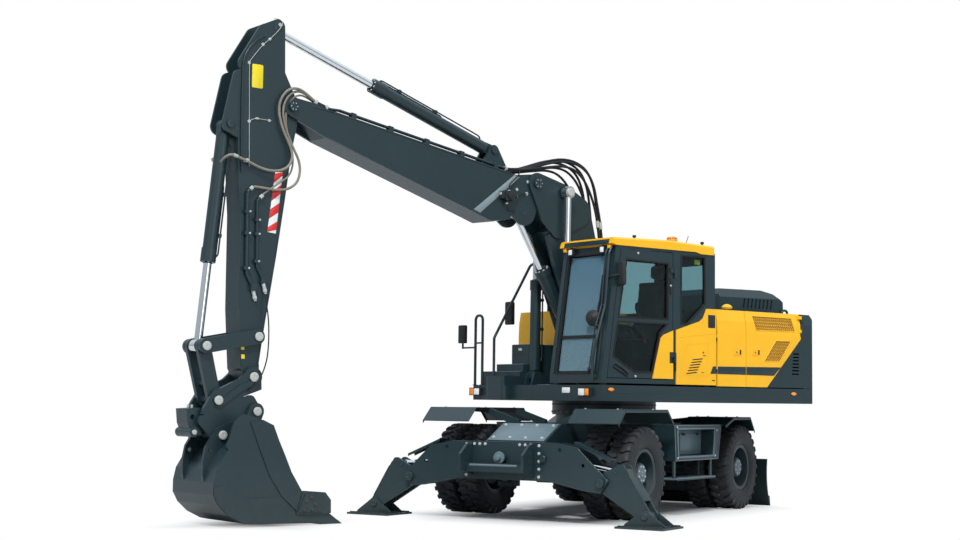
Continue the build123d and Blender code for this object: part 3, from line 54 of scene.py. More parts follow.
class Wire:                                   # a node's output, with operators that add Math nodes
    def __init__(self, finish, socket):
        self.finish = finish
        self.socket = socket

    def math(self, operation, other=0.0, swap=False, clamp=False):
        pair = [other, self] if swap else [self, other]
        settings = {"operation": operation, "use_clamp": clamp}
        return self.finish.node("Math", settings, {0: pair[0], 1: pair[1]})

    def __add__(self, other):
        return self.math("ADD", other)

    def __sub__(self, other):
        return self.math("SUBTRACT", other)

    def __rsub__(self, other):
        return self.math("SUBTRACT", other, True)

    def __mul__(self, other):
        return self.math("MULTIPLY", other)

    def __truediv__(self, other):
        return self.math("DIVIDE", other)

    def clamped(self):
        return self.math("ADD", 0.0, clamp=True)


class Finish:                                 # one material and what is added to it
    def __init__(self, name):
        self.material = bpy.data.materials.new(name)
        self.material.use_nodes = True
        self.tree = self.material.node_tree
        self.shader = self.tree.nodes["Principled BSDF"]
        self.place = self.node("TexCoord", output="Object")

    def node(self, kind, settings=None, sockets=None, output=0):
        made = self.tree.nodes.new("ShaderNode" + kind)
        for key, value in (settings or {}).items():
            setattr(made, key, value)
        for key, value in (sockets or {}).items():
            self.feed(made.inputs[key], value)
        return Wire(self, made.outputs[output])

    def feed(self, socket, value):
        if isinstance(value, Wire):
            self.tree.links.new(value.socket, socket)
        elif isinstance(value, tuple) and len(value) == 3 and socket.type == "RGBA":
            socket.default_value = (*value, 1.0)
        else:
            socket.default_value = value

    def noise(self, scale, detail=3.0, rough=0.55, place=None):
        return self.node("TexNoise", None, {"Vector": place or self.place, "Scale": scale, "Detail": detail,
                                            "Roughness": rough})

    def wave(self, direction, scale):
        return self.node("TexWave", {"bands_direction": direction}, {"Vector": self.place, "Scale": scale})

    def mix(self, factor, first, second):
        return self.node("Mix", {"data_type": "RGBA"}, {0: factor, 6: first, 7: second}, 2)

    def part(self, axis, place=None):         # one coordinate, in metres
        return self.node("SeparateXYZ", None, {0: place or self.place}, axis)

    def bump(self, height, strength, distance=0.002):
        normal = self.node("Bump", None, {"Height": height, "Strength": strength, "Distance": distance})
        self.feed(self.shader.inputs["Normal"], normal)

    def set(self, **values):
        for key, value in values.items():
            self.feed(self.shader.inputs[key.replace("_", " ")], value)

    def plain(self, **values):                # values that stay the same all over
        for key, value in values.items():
            self.shader.inputs[key.replace("_", " ")].default_value = value


finishes = {}
dustColour = (0.19, 0.165, 0.13)

# Columns: colour, roughness, coat, dust below this height, share of dust
paints = {
    "darkPaint": ((0.0105, 0.0262, 0.0310), 0.40, 0.15, 0.75, 0.12),
    "yellowPaint": ((0.83, 0.42, 0.008), 0.36, 0.20, 0.2, 0.08),
    "rimPaint": ((0.018, 0.034, 0.042), 0.45, 0.1, 0.9, 0.22),
    "greyStripe": ((0.20, 0.25, 0.27), 0.42, 0.2, 0.2, 0.1),
    "blankPlate": ((0.78, 0.78, 0.75), 0.45, 0.1, 0.2, 0.1),
    "zincPlate": ((0.42, 0.44, 0.44), 0.38, 0.0, 0.4, 0.2),
    "redBand": ((0.62, 0.018, 0.015), 0.4, 0.2, 0.2, 0.1),
    "paleFrame": ((0.095, 0.140, 0.160), 0.42, 0.15, 0.9, 0.18),
    "pinCap": ((0.42, 0.43, 0.41), 0.42, 0.0, 0.3, 0.2),
    "safetyYellow": ((0.80, 0.62, 0.01), 0.4, 0.2, 0.2, 0.1),
    "grilleYellow": ((0.50, 0.25, 0.012), 0.45, 0.1, 0.2, 0.2),
}


def paintedMetal(name, colour, rough, coat, dustHeight, dustShare):
    finish = Finish(name)
    broad = finish.noise(1.3, 4.0)
    fine = finish.noise(45.0, 2.0)
    streaks = finish.noise(9.0, 5.0, 0.7)
    height = finish.part(2)
    tone = finish.mix(broad, tuple(c * 0.86 for c in colour), tuple(min(1.0, c * 1.16) for c in colour))
    low = ((dustHeight - height) / 0.7).clamped()
    dusty = (low * (streaks * 1.5 - 0.25).clamped() * dustShare + (streaks - 0.62).clamped() * 0.25).clamped()
    finish.set(Base_Color=finish.mix(dusty, tone, dustColour),
               Roughness=(dusty * 0.35 + fine * 0.12 + (rough - 0.06)).clamped())
    finish.plain(Coat_Weight=coat, Specular_IOR_Level=0.4, Coat_Roughness=0.22)
    finish.bump(fine + finish.noise(160.0, 1.0) * 0.35, 0.10, 0.0012)
    return finish.material


for name, values in paints.items():
    finishes[name] = paintedMetal(name, *values)


def tyreRubber():
    finish = Finish("tyreRubber")
    broad = finish.noise(3.0, 5.0)
    fine = finish.noise(75.0, 4.0, 0.7)
    height = finish.part(2)
    dusty = ((broad * 1.6 - 0.55).clamped() * 0.30 + ((0.35 - height) / 0.6).clamped() * 0.12).clamped()
    finish.set(Base_Color=finish.mix(dusty, (0.011, 0.013, 0.016), (0.075, 0.075, 0.075)),
               Roughness=(fine * 0.2 + 0.46).clamped())
    finish.plain(Specular_IOR_Level=0.35)
    finish.bump(fine, 0.35, 0.002)
    return finish.material


def screenTint():
    finish = Finish("screenTint")
    height = finish.part(2)
    streaks = finish.noise(3.0, 3.0)
    upwards = ((height - 1.6) / 1.4).clamped()
    finish.set(Base_Color=finish.mix(upwards, (0.20, 0.33, 0.38), (0.11, 0.24, 0.34)),
               Roughness=(streaks * 0.06 + 0.05).clamped(),
               Alpha=(streaks * 0.10 + 0.52).clamped())
    return finish.material


def seatFabric():
    finish = Finish("seatFabric")
    weaveX = finish.wave("X", 260.0)
    weaveZ = finish.wave("Z", 260.0)
    weave = weaveX * weaveZ
    finish.set(Base_Color=finish.mix(weave, (0.030, 0.032, 0.036), (0.075, 0.078, 0.085)), Roughness=0.9)
    finish.plain(Sheen_Weight=0.3)
    finish.bump(weave, 0.5, 0.001)
    return finish.material


dull = {"Specular_IOR_Level": 0.2}
# Columns: grain (a noise's scale and detail, or a wave's direction and scale), patches (the same, or None
# where the grain mixes the two colours), colours, roughness as (share of the grain, least), bump as
# (strength, depth), plain values
surfaces = {
    "hoseRubber": (("DIAGONAL", 90.0), (7.0, 4.0), ((0.007, 0.009, 0.010), (0.018, 0.021, 0.023)),
                   (0.15, 0.5), (0.3, 0.0012), dull),
    "dustyHose": (("DIAGONAL", 90.0), (9.0, 4.0), ((0.12, 0.105, 0.085), (0.30, 0.27, 0.22)), (0.15, 0.55),
                  (0.4, 0.0015), {}),
    "blackRubber": ((120.0, 2.0), (5.0, 3.0), ((0.010, 0.011, 0.012), (0.022, 0.023, 0.024)), (0.2, 0.55),
                    (0.15, 0.001), dull),
    "amberLens": (("Z", 90.0), None, ((0.85, 0.22, 0.01), (1.0, 0.34, 0.03)), (0.0, 0.2), (0.3, 0.001), {}),
    "mirrorGlass": ((30.0, 2.0), None, ((0.45, 0.47, 0.48),), (0.05, 0.03), None, {"Metallic": 1.0}),
    "chromeRod": ((140.0, 2.0), None, ((0.78, 0.79, 0.80),), (0.08, 0.08), None, {"Metallic": 1.0}),
    "clearGlass": ((2.2, 3.0), None, ((0.34, 0.50, 0.53),), (0.04, 0.01), None,
                   {"Transmission_Weight": 1.0, "IOR": 1.3}),
    "castIron": ((90.0, 4.0), (6.0, 3.0), ((0.05, 0.05, 0.05), (0.10, 0.09, 0.085)), (0.3, 0.45),
                 (0.4, 0.002), {"Metallic": 0.7}),
    "blackPlastic": ((260.0, 2.0), (4.0, 3.0), ((0.018, 0.019, 0.02), (0.03, 0.031, 0.032)), (0.2, 0.42),
                     (0.25, 0.0008), dull),
    "lampGlass": (("Y", 60.0), None, ((0.85, 0.86, 0.86),), (0.0, 0.12), (0.4, 0.001), {}),
}


def surface(name, grain, patches, colours, rough, relief, plain):
    finish = Finish(name)
    pattern = finish.wave(*grain) if isinstance(grain[0], str) else finish.noise(*grain)
    tone = colours[0]
    if len(colours) == 2:
        tone = finish.mix(finish.noise(*patches) if patches else pattern, *colours)
    share, least = rough
    finish.set(Base_Color=tone, Roughness=(pattern * share + least).clamped() if share else least)
    finish.plain(**plain)
    if relief:
        finish.bump(pattern, *relief)
    return finish.material


for name, values in surfaces.items():
    finishes[name] = surface(name, *values)
finishes.update(tyreRubber=tyreRubber(), screenTint=screenTint(), seatFabric=seatFabric())

# The record's slots and the finish of each
slotFinishes = {
    "dark_paint": "darkPaint", "yellow_paint": "yellowPaint", "rim_paint": "rimPaint", "tyre": "tyreRubber",
    "chrome": "chromeRod", "glass": "clearGlass", "lamp_glass": "blackPlastic", "cast_iron": "castIron",
    "black_plastic": "blackPlastic", "seat_fabric": "seatFabric",
}
slotOf = {part["node"]: part["material_slot"] for part in frame["record"]["subparts"]}
for name, node in frame["nodes"].items():
    node.data.materials.clear()
    node.data.materials.append(finishes[slotFinishes[slotOf[name]]])
print("materials made")


# Makers of shapes and pieces

swing = math.radians(21.74)                   # the undercarriage is turned from the boom by this
underTurn = Matrix.Rotation(swing, 4, "Z")


def keepMesh(name, data, body, finish, turn=None, angle=32.0):
    # A finished mesh becomes a piece that rides on a body
    if turn:
        data.transform(turn)
    data.shade_smooth()
    data.set_sharp_from_angle(angle=math.radians(angle))
    data.materials.clear()
    data.materials.append(finishes[finish])
    piece = link(bpy.data.objects.new(name, data))
    if body:
        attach(piece, body)
    return piece


def link(made):
    bpy.context.scene.collection.objects.link(made)
    return made


def evaluatedCopy(maker):
    # The mesh of an object with its modifiers or bevel
    bpy.context.view_layer.update()
    graph = bpy.context.evaluated_depsgraph_get()
    return bpy.data.meshes.new_from_object(maker.evaluated_get(graph), depsgraph=graph)


def evaluated(maker):
    # The same, and the object itself is removed
    data = evaluatedCopy(maker)
    bpy.data.objects.remove(maker)
    return data


def span(sign, first, last):
    # Two distances from the middle, as low and high values on one side
    return sorted((sign * first, sign * last))


def rect(u0, v0, u1, v1):
    return [(u0, v0), (u1, v0), (u1, v1), (u0, v1)]


def onFace(y, points):
    # Points of a side view put in space, columns x, z and, where it isn't on y, how far off
    return [(x, y + sum(off), z) for x, z, *off in points]


def fittingRows(y, table):
    # Rows of scatterCopies, columns x, z, how far off y, direction, radius and height
    return [((x, y + off, z), aim, (wide, wide, tall)) for x, z, off, aim, wide, tall in table]


class Shape:                                  # gathers closed solids in one mesh
    def __init__(self):
        self.mesh = bmesh.new()

    def place(self, plane, u, v, w):
        return {"xz": (u, w, v), "yz": (w, u, v), "xy": (u, v, w)}[plane]

    def prism(self, outline, low, high, plane="xz"):
        ends = [[self.mesh.verts.new(self.place(plane, u, v, w)) for u, v in outline] for w in (low, high)]
        for loop in ends:
            self.mesh.faces.new(loop)
        for i in range(len(outline)):
            self.mesh.faces.new((ends[0][i - 1], ends[0][i], ends[1][i], ends[1][i - 1]))
        return self

    def border(self, outer, inner, low, high, plane="xz"):
        # A flat ring between two outlines with as many points
        rings = [[self.mesh.verts.new(self.place(plane, u, v, w)) for u, v in outline]
                 for outline, w in ((outer, low), (outer, high), (inner, high), (inner, low))]
        for i in range(len(outer)):
            for k in range(4):
                self.mesh.faces.new((rings[k - 1][i - 1], rings[k - 1][i], rings[k][i], rings[k][i - 1]))
        return self

    def box(self, low, high):
        return self.prism(rect(*low[:2], *high[:2]), low[2], high[2], "xy")

    def boxes(self, *corners):
        for low, high in corners:
            self.box(low, high)
        return self

    def rod(self, start, end, radius, sides=24, endRadius=None):
        start, end = Vector(start), Vector(end)
        turn = (end - start).to_track_quat("Z", "Y").to_matrix().to_4x4()
        bmesh.ops.create_cone(self.mesh, cap_ends=True, segments=sides, radius1=radius,
                              radius2=endRadius or radius, depth=(end - start).length,
                              matrix=Matrix.Translation((start + end) / 2) @ turn)
        return self

    def turned(self, profile, centre=(0, 0, 0), axis=(0, 0, 1), steps=32):
        # A solid whose outline begins and ends on the axis
        return self.spun([(profile[0][0], 0.0), *profile, (profile[-1][0], 0.0)], centre, axis, steps)

    def spun(self, profile, centre=(0, 0, 0), axis=(0, 0, 1), steps=32):
        # A closed outline of (height along the axis, radius) turned round it
        place = Matrix.Translation(centre) @ Vector(axis).to_track_quat("Z", "Y").to_matrix().to_4x4()
        rings = []
        for step in range(steps):
            angle = 2 * math.pi * step / steps
            rings.append([self.mesh.verts.new(place @ Vector((r * math.cos(angle), r * math.sin(angle), h)))
                          for h, r in profile])
        for i in range(steps):
            for k in range(len(profile)):
                self.mesh.faces.new((rings[i - 1][k - 1], rings[i - 1][k], rings[i][k], rings[i][k - 1]))
        poles = [v for ring in rings for v, (h, r) in zip(ring, profile) if r == 0]
        if poles:
            bmesh.ops.remove_doubles(self.mesh, verts=poles, dist=0.00001)
        return self

    def data(self, name):
        bmesh.ops.recalc_face_normals(self.mesh, faces=self.mesh.faces)
        data = bpy.data.meshes.new(name)
        self.mesh.to_mesh(data)
        self.mesh.free()
        return data

    def piece(self, name, body, finish, bevel=0.0, turn=None, angle=32.0):
        data = self.data(name)
        if bevel:
            maker = link(bpy.data.objects.new(name + "Maker", data))
            rounding = maker.modifiers.new("rounding", "BEVEL")
            rounding.width = bevel
            rounding.segments = 2
            rounding.limit_method = "ANGLE"
            data = evaluated(maker)
        return keepMesh(name, data, body, finish, turn, angle)


def tubes(name, body, finish, routes, turn=None):
    # Round tubes, columns: radius, points of a smooth line
    curve = bpy.data.curves.new(name + "Line", "CURVE")
    curve.dimensions = "3D"
    curve.bevel_depth = 1.0
    curve.bevel_resolution = 2
    curve.resolution_u = 6
    curve.use_fill_caps = True
    for radius, points in routes:
        spline = curve.splines.new("NURBS")
        spline.points.add(len(points) - 1)
        for point, place in zip(spline.points, points):
            point.co = (*place, 1.0)
            point.radius = radius
        spline.order_u = 3
        spline.use_endpoint_u = True
    maker = link(bpy.data.objects.new(name + "Maker", curve))
    return keepMesh(name, evaluated(maker), body, finish, turn, 60.0)


class NodeTree:                               # a Geometry Nodes tree with named inputs
    def __init__(self, name, inputs):
        self.tree = bpy.data.node_groups.new(name, "GeometryNodeTree")
        face = self.tree.interface
        face.new_socket("Geometry", in_out="INPUT", socket_type="NodeSocketGeometry")
        for label, kind in inputs:
            face.new_socket(label, in_out="INPUT", socket_type="NodeSocket" + kind)
        face.new_socket("Geometry", in_out="OUTPUT", socket_type="NodeSocketGeometry")
        self.source = self.tree.nodes.new("NodeGroupInput")
        self.end = self.tree.nodes.new("NodeGroupOutput")

    def node(self, kind, settings=None, sockets=None, output=0):
        made = self.tree.nodes.new(kind)
        for key, value in (settings or {}).items():
            setattr(made, key, value)
        for key, value in (sockets or {}).items():
            if isinstance(value, bpy.types.NodeSocket):
                self.tree.links.new(value, made.inputs[key])
            else:
                made.inputs[key].default_value = value
        return made.outputs[output]

    def close(self, instances):
        real = self.node("GeometryNodeRealizeInstances", None, {0: instances})
        done = self.node("GeometryNodeSetMaterial", None, {"Geometry": real,
                                                           "Material": self.source.outputs["Finish"]})
        self.tree.links.new(done, self.end.inputs[0])

    def run(self, name, data, values):
        maker = link(bpy.data.objects.new(name + "Maker", data))
        modifier = maker.modifiers.new("nodes", "NODES")
        modifier.node_group = self.tree
        for item in self.tree.interface.items_tree:
            if item.in_out == "INPUT" and item.name in values:
                modifier[item.identifier] = values[item.name]
        return evaluated(maker)


def scatterTree():
    # Copies of one object on points, each turned and sized by the points' own values
    made = NodeTree("copiesOnPoints", [("Copy", "Object"), ("Finish", "Material")])
    turn = made.node("GeometryNodeInputNamedAttribute", {"data_type": "FLOAT_VECTOR"}, {"Name": "turn"})
    size = made.node("GeometryNodeInputNamedAttribute", {"data_type": "FLOAT_VECTOR"}, {"Name": "size"})
    aimed = made.node("FunctionNodeEulerToRotation", None, {0: turn})
    copy = made.node("GeometryNodeObjectInfo", None, {"Object": made.source.outputs["Copy"]}, "Geometry")
    instances = made.node("GeometryNodeInstanceOnPoints", None,
                          {"Points": made.source.outputs["Geometry"], "Instance": copy, "Rotation": aimed,
                           "Scale": size})
    made.close(instances)
    return made


def ringTree():
    # Copies of one object turned about the Y axis, evenly or from a first angle on
    made = NodeTree("copiesOnRing", [("Copy", "Object"), ("Count", "Int"), ("First Angle", "Float"),
                                     ("Finish", "Material")])
    points = made.node("GeometryNodePoints", None, {"Count": made.source.outputs["Count"], "Radius": 0.001})
    index = made.node("GeometryNodeInputIndex")
    share = made.node("ShaderNodeMath", {"operation": "DIVIDE"}, {0: index, 1: made.source.outputs["Count"]})
    angle = made.node("ShaderNodeMath", {"operation": "MULTIPLY_ADD"},
                      {0: share, 1: 2 * math.pi, 2: made.source.outputs["First Angle"]})
    turn = made.node("ShaderNodeCombineXYZ", None, {"Y": angle})
    aimed = made.node("FunctionNodeEulerToRotation", None, {0: turn})
    copy = made.node("GeometryNodeObjectInfo", None, {"Object": made.source.outputs["Copy"]}, "Geometry")
    instances = made.node("GeometryNodeInstanceOnPoints", None,
                          {"Points": points, "Instance": copy, "Rotation": aimed})
    made.close(instances)
    return made


scatter = scatterTree()
ring = ringTree()


def prototype(shape, name):
    # An unseen object that the trees copy
    return bpy.data.objects.new(name, shape.data(name))


def scatterCopies(name, body, finish, copy, rows, turn=None, angle=32.0):
    # Columns of the rows: place, direction of the copy's Z axis or a full turn, size
    data = bpy.data.meshes.new(name + "Points")
    data.from_pydata([place for place, aim, size in rows], [], [])
    turns = data.attributes.new("turn", "FLOAT_VECTOR", "POINT")
    sizes = data.attributes.new("size", "FLOAT_VECTOR", "POINT")
    for i, (place, aim, size) in enumerate(rows):
        if not isinstance(aim, Euler):
            aim = Vector(aim).to_track_quat("Z", "Y").to_euler()
        turns.data[i].vector = tuple(aim)
        sizes.data[i].vector = size if isinstance(size, tuple) else (size, size, size)
    mesh = scatter.run(name, data, {"Copy": copy, "Finish": finishes[finish]})
    return keepMesh(name, mesh, body, finish, turn, angle)


# Copies of unit size: a hexagon bolt on its washer, a pin's end plate, a collar, a plain bar and a lens
hexBolt = prototype(Shape().turned([(-0.3, 1.3), (0.16, 1.3), (0.22, 1.22)], steps=12)
                    .turned([(0.1, 1.0), (0.72, 1.0), (0.82, 0.84)], steps=6), "hexBolt")
pinEnd = prototype(Shape().turned([(-0.5, 1.0), (0.16, 1.0), (0.24, 0.92), (0.24, 0.42), (0.18, 0.38)],
                                  steps=28), "pinEnd")
collar = prototype(Shape().turned([(-0.3, 1.0), (0.28, 1.0), (0.36, 0.92), (0.36, 0.66), (0.22, 0.62)],
                                  steps=28), "collar")
bladeBar = prototype(Shape().box((-0.5, -0.5, -0.5), (0.5, 0.5, 0.5)), "bladeBar")
lensCopy = prototype(Shape().turned([(-0.4, 1.0), (0.55, 1.0), (0.85, 0.86), (1.0, 0.55)], steps=24),
                     "lensCopy")


def inset(outline, gap):
    # The outline moved inwards by a gap, or outwards by a negative one
    area = sum(a[0] * b[1] - b[0] * a[1] for a, b in zip(outline, outline[1:] + outline[:1]))
    lines = []
    for a, b in zip(outline, outline[1:] + outline[:1]):
        run = (Vector(b) - Vector(a)).normalized()
        inwards = Vector((-run.y, run.x)) * (1 if area > 0 else -1)
        lines.append((Vector(a) + inwards * gap, run))
    made = []
    for (p, u), (q, v) in zip(lines[-1:] + lines[:-1], lines):
        cross = u.x * v.y - u.y * v.x
        made.append(tuple(p + u * (((q - p).x * v.y - (q - p).y * v.x) / cross)))
    return made


print("tools ready")


# Wheels: twin tyres with their tread, nuts and hub plates

wheel = {
    "frontX": 1.442, "rearX": -1.408, "centreZ": 0.5275, "outerY": 1.126, "innerY": 0.806, "midY": 0.966,
    "radius": 0.5275, "lugCount": 27, "nutCount": 10, "nutCircle": 0.152, "plateY": 1.196,
}
# Half section of the carcass as (half width, radius) from the bead to the tread's middle
carcass = [(0.093, 0.2575), (0.100, 0.285), (0.116, 0.291), (0.128, 0.312), (0.1365, 0.345),
           (0.1385, 0.372), (0.1395, 0.378), (0.1380, 0.384), (0.1380, 0.425), (0.1392, 0.430),
           (0.1375, 0.436), (0.1330, 0.468), (0.126, 0.487), (0.112, 0.500), (0.085, 0.5065), (0.03, 0.5075)]
# Stations of a lug from the sidewall to the middle: half width, radius, first and last edge along the tread
lugStations = [(0.1380, 0.448, 0.004, 0.030), (0.1400, 0.462, -0.002, 0.036), (0.1385, 0.492, -0.004, 0.044),
               (0.130, 0.518, -0.004, 0.050), (0.112, 0.5270, -0.002, 0.056), (0.082, 0.5273, 0.008, 0.066),
               (0.060, 0.5275, 0.024, 0.082), (0.034, 0.5275, 0.026, 0.078), (0.006, 0.5275, 0.044, 0.074)]


def lugShape(side):
    shape = Shape()
    rows = []
    for width, radius, first, last in lugStations:
        deep = max(radius - 0.034, 0.43)
        row = []
        for r, grow in ((radius, -0.004), (deep, 0.003)):
            inward = 0.0 if r == radius else 0.016
            for s in (first - grow, last + grow):
                angle = s / wheel["radius"]
                row.append(shape.mesh.verts.new((r * math.sin(angle), side * max(width - inward, 0.002),
                                                 r * math.cos(angle))))
        rows.append((row[0], row[1], row[3], row[2]))
    for a, b in zip(rows, rows[1:]):
        for k in range(4):
            shape.mesh.faces.new((a[k - 1], a[k], b[k], b[k - 1]))
    shape.mesh.faces.new(rows[0])
    shape.mesh.faces.new(rows[-1])
    return shape


def tyrePiece(name, body, place):
    lugs = [prototype(lugShape(side), "lug") for side in (1, -1)]
    whole = bmesh.new()
    for y in (wheel["outerY"], wheel["innerY"]):
        profile = carcass + [(-w, r) for w, r in reversed(carcass)]
        parts = [Shape().spun(profile, (0, 0, 0), (0, 1, 0), 96).data("carcass")]
        for lug, share in zip(lugs, (0.0, 0.5)):
            parts.append(ring.run("tread", bpy.data.meshes.new("none"),
                                  {"Copy": lug, "Count": wheel["lugCount"], "Finish": finishes["tyreRubber"],
                                   "First Angle": share * 2 * math.pi / wheel["lugCount"]}))
        for part in parts:
            part.transform(Matrix.Translation((0, y, 0)))
            whole.from_mesh(part)
    data = bpy.data.meshes.new(name)
    whole.to_mesh(data)
    whole.free()
    piece = keepMesh(name, data, body, "tyreRubber", place, 28.0)
    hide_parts(name.replace("tyre", "tyres_", 1).replace("Front", "front_").replace("Rear", "rear_")
                .lower())


def wheelPieces():
    for end in ("Front", "Rear"):
        for hand, sign in (("Left", 1), ("Right", -1)):
            body = f"wheels_{end.lower()}_{hand.lower()}"
            x = wheel["frontX"] if end == "Front" else wheel["rearX"]
            # The wheel is made for the left side; the right one is the same, turned round
            place = (underTurn @ Matrix.Translation((x, 0, wheel["centreZ"]))
                     @ (Matrix.Identity(4) if sign == 1 else Matrix.Rotation(math.pi, 4, "Z")))
            tyrePiece("tyre" + end + hand, body, place)
            hub = Shape()
            plate = wheel["plateY"]
            hub.turned([(plate - 0.004, 0.104), (plate + 0.005, 0.104), (plate + 0.008, 0.100),
                        (plate + 0.008, 0.040), (plate + 0.014, 0.036)], axis=(0, 1, 0), steps=48)
            hub.piece("hubPlate" + end + hand, body, "paleFrame", turn=place)
            bolts = []
            for count, circle, y, size in ((8, 0.084, plate + 0.008, 0.0095),
                                           (wheel["nutCount"], wheel["nutCircle"], wheel["midY"] + 0.092,
                                            0.013),
                                           (2, 0.018, plate + 0.014, 0.006)):
                for k in range(count):
                    angle = 2 * math.pi * (k + 0.5) / count
                    bolts.append(((circle * math.cos(angle), y, circle * math.sin(angle)), (0, 1, 0), size))
            scatterCopies("wheelNuts" + end + hand, body, "zincPlate", hexBolt, bolts, place)
            flange = Shape()
            for y, outwards in ((wheel["outerY"] + 0.104, 1), (wheel["innerY"] - 0.104, -1)):
                section = ((-0.012, 0.246), (-0.012, 0.2845), (0.0, 0.2875), (0.006, 0.282), (0.004, 0.262),
                           (-0.002, 0.246))
                flange.spun([(y + off * outwards, r) for off, r in section], axis=(0, 1, 0), steps=64)
            flange.piece("rimFlange" + end + hand, body, "rimPaint", turn=place)
            valve = Shape()
            outer = wheel["outerY"]
            valve.rod((0.19, wheel["midY"] + 0.012, 0.05), (0.215, outer + 0.02, 0.057), 0.006, 10)
            valve.rod((0.215, outer + 0.015, 0.057), (0.222, outer + 0.06, 0.059), 0.009, 10)
            valve.piece("valve" + end + hand, body, "blackRubber", turn=place)


wheelPieces()
print("wheels made")


# Undercarriage: pin caps, bolts, step teeth, side boxes, lips of the wings, guards and pad ribs

under = {
    "beamFront": 2.5, "beamBack": 2.222, "hinge": (1.212, 0.458), "base": (0.52, 0.70), "eye": (1.367, 0.592),
    "foot": (1.72, 0.125), "corner": (1.43, 0.615), "boxFace": 1.2, "stepTop": 0.436, "beamBolt": 0.014,
    "weld": 0.006, "guardDrop": 0.022, "sheet": 0.008,
}
wings = [[(0.714, 1.093), (0.884, 1.247), (2.0, 1.247), (2.17, 1.093)],
         [(-1.827, 0.988), (-1.68, 1.16), (-1.129, 1.16), (-0.853, 1.063)]]


def sides(pair):
    return [(sign, *sorted((sign * pair[0], sign * pair[1]))) for sign in (1, -1)]


def beamPieces():
    caps, bolts = [], []
    for sign in (1, -1):
        for (y, z), size in ((under["hinge"], 0.05), (under["base"], 0.038)):
            caps.append(((under["beamFront"] + 0.029, sign * y, z), (1, 0, 0), (size, size, 0.03)))
            caps.append(((under["beamBack"], sign * y, z), (-1, 0, 0), (size, size, 0.03)))
        places = [(0.462, 0.50 + 0.085 * k) for k in range(5)] + [(0.36 - 0.07 * k, 0.845) for k in range(3)]
        bolts += [((under["beamFront"], sign * y, z), (1, 0, 0), under["beamBolt"]) for y, z in places]
    scatterCopies("beamPins", "undercarriage", "darkPaint", pinEnd, caps, underTurn)
    scatterCopies("beamBolts", "undercarriage", "zincPlate", hexBolt, bolts, underTurn)
    edges = Shape()
    outline = [(-0.65, 0.87), (0.65, 0.87), (0.93, 0.825), (1.212, 0.565), (1.3, 0.48)]
    low = [(1.212, 0.355), (1.0, 0.376), (0.6, 0.457)]
    runs = list(zip(outline, outline[1:]))
    runs += [((sign * a[0], a[1]), (sign * b[0], b[1])) for a, b in zip(low, low[1:]) for sign in (1, -1)]
    for a, b in runs:
        edges.rod((under["beamFront"] - 0.004, *a), (under["beamFront"] - 0.004, *b), under["weld"], 8)
    edges.piece("beamWelds", "undercarriage", "darkPaint", turn=underTurn, angle=60)
    # Cover plate on the sloping nose with its bolts, and the tow pin with its ring
    nose = Shape()
    nose.prism([(1.842, 1.066), (2.212, 0.8785), (2.2155, 0.8865), (1.8455, 1.074)], -0.362, 0.362)
    nose.piece("noseCover", "undercarriage", "paleFrame", bevel=0.002, turn=underTurn)
    tilt = Vector((0.45, 0, 0.893))
    scatterCopies("noseBolts", "undercarriage", "zincPlate", hexBolt,
                  [((x, y, 1.074 - (x - 1.8455) * 0.507), tilt, 0.015)
                   for x in (1.89, 2.16) for y in (-0.31, -0.1, 0.1, 0.31)], underTurn)
    tow = Shape().turned([(-0.012, 0.066), (0.0, 0.07), (0.012, 0.066), (0.012, 0.034), (0.05, 0.03)],
                         (under["beamFront"] + 0.07, 0, 0.70), (1, 0, 0), 32)
    tow.rod((2.70, -0.30, 0.62), (2.70, 0.30, 0.62), 0.012, 12)
    tow.piece("towPin", "undercarriage", "paleFrame", bevel=0.0015, turn=underTurn)


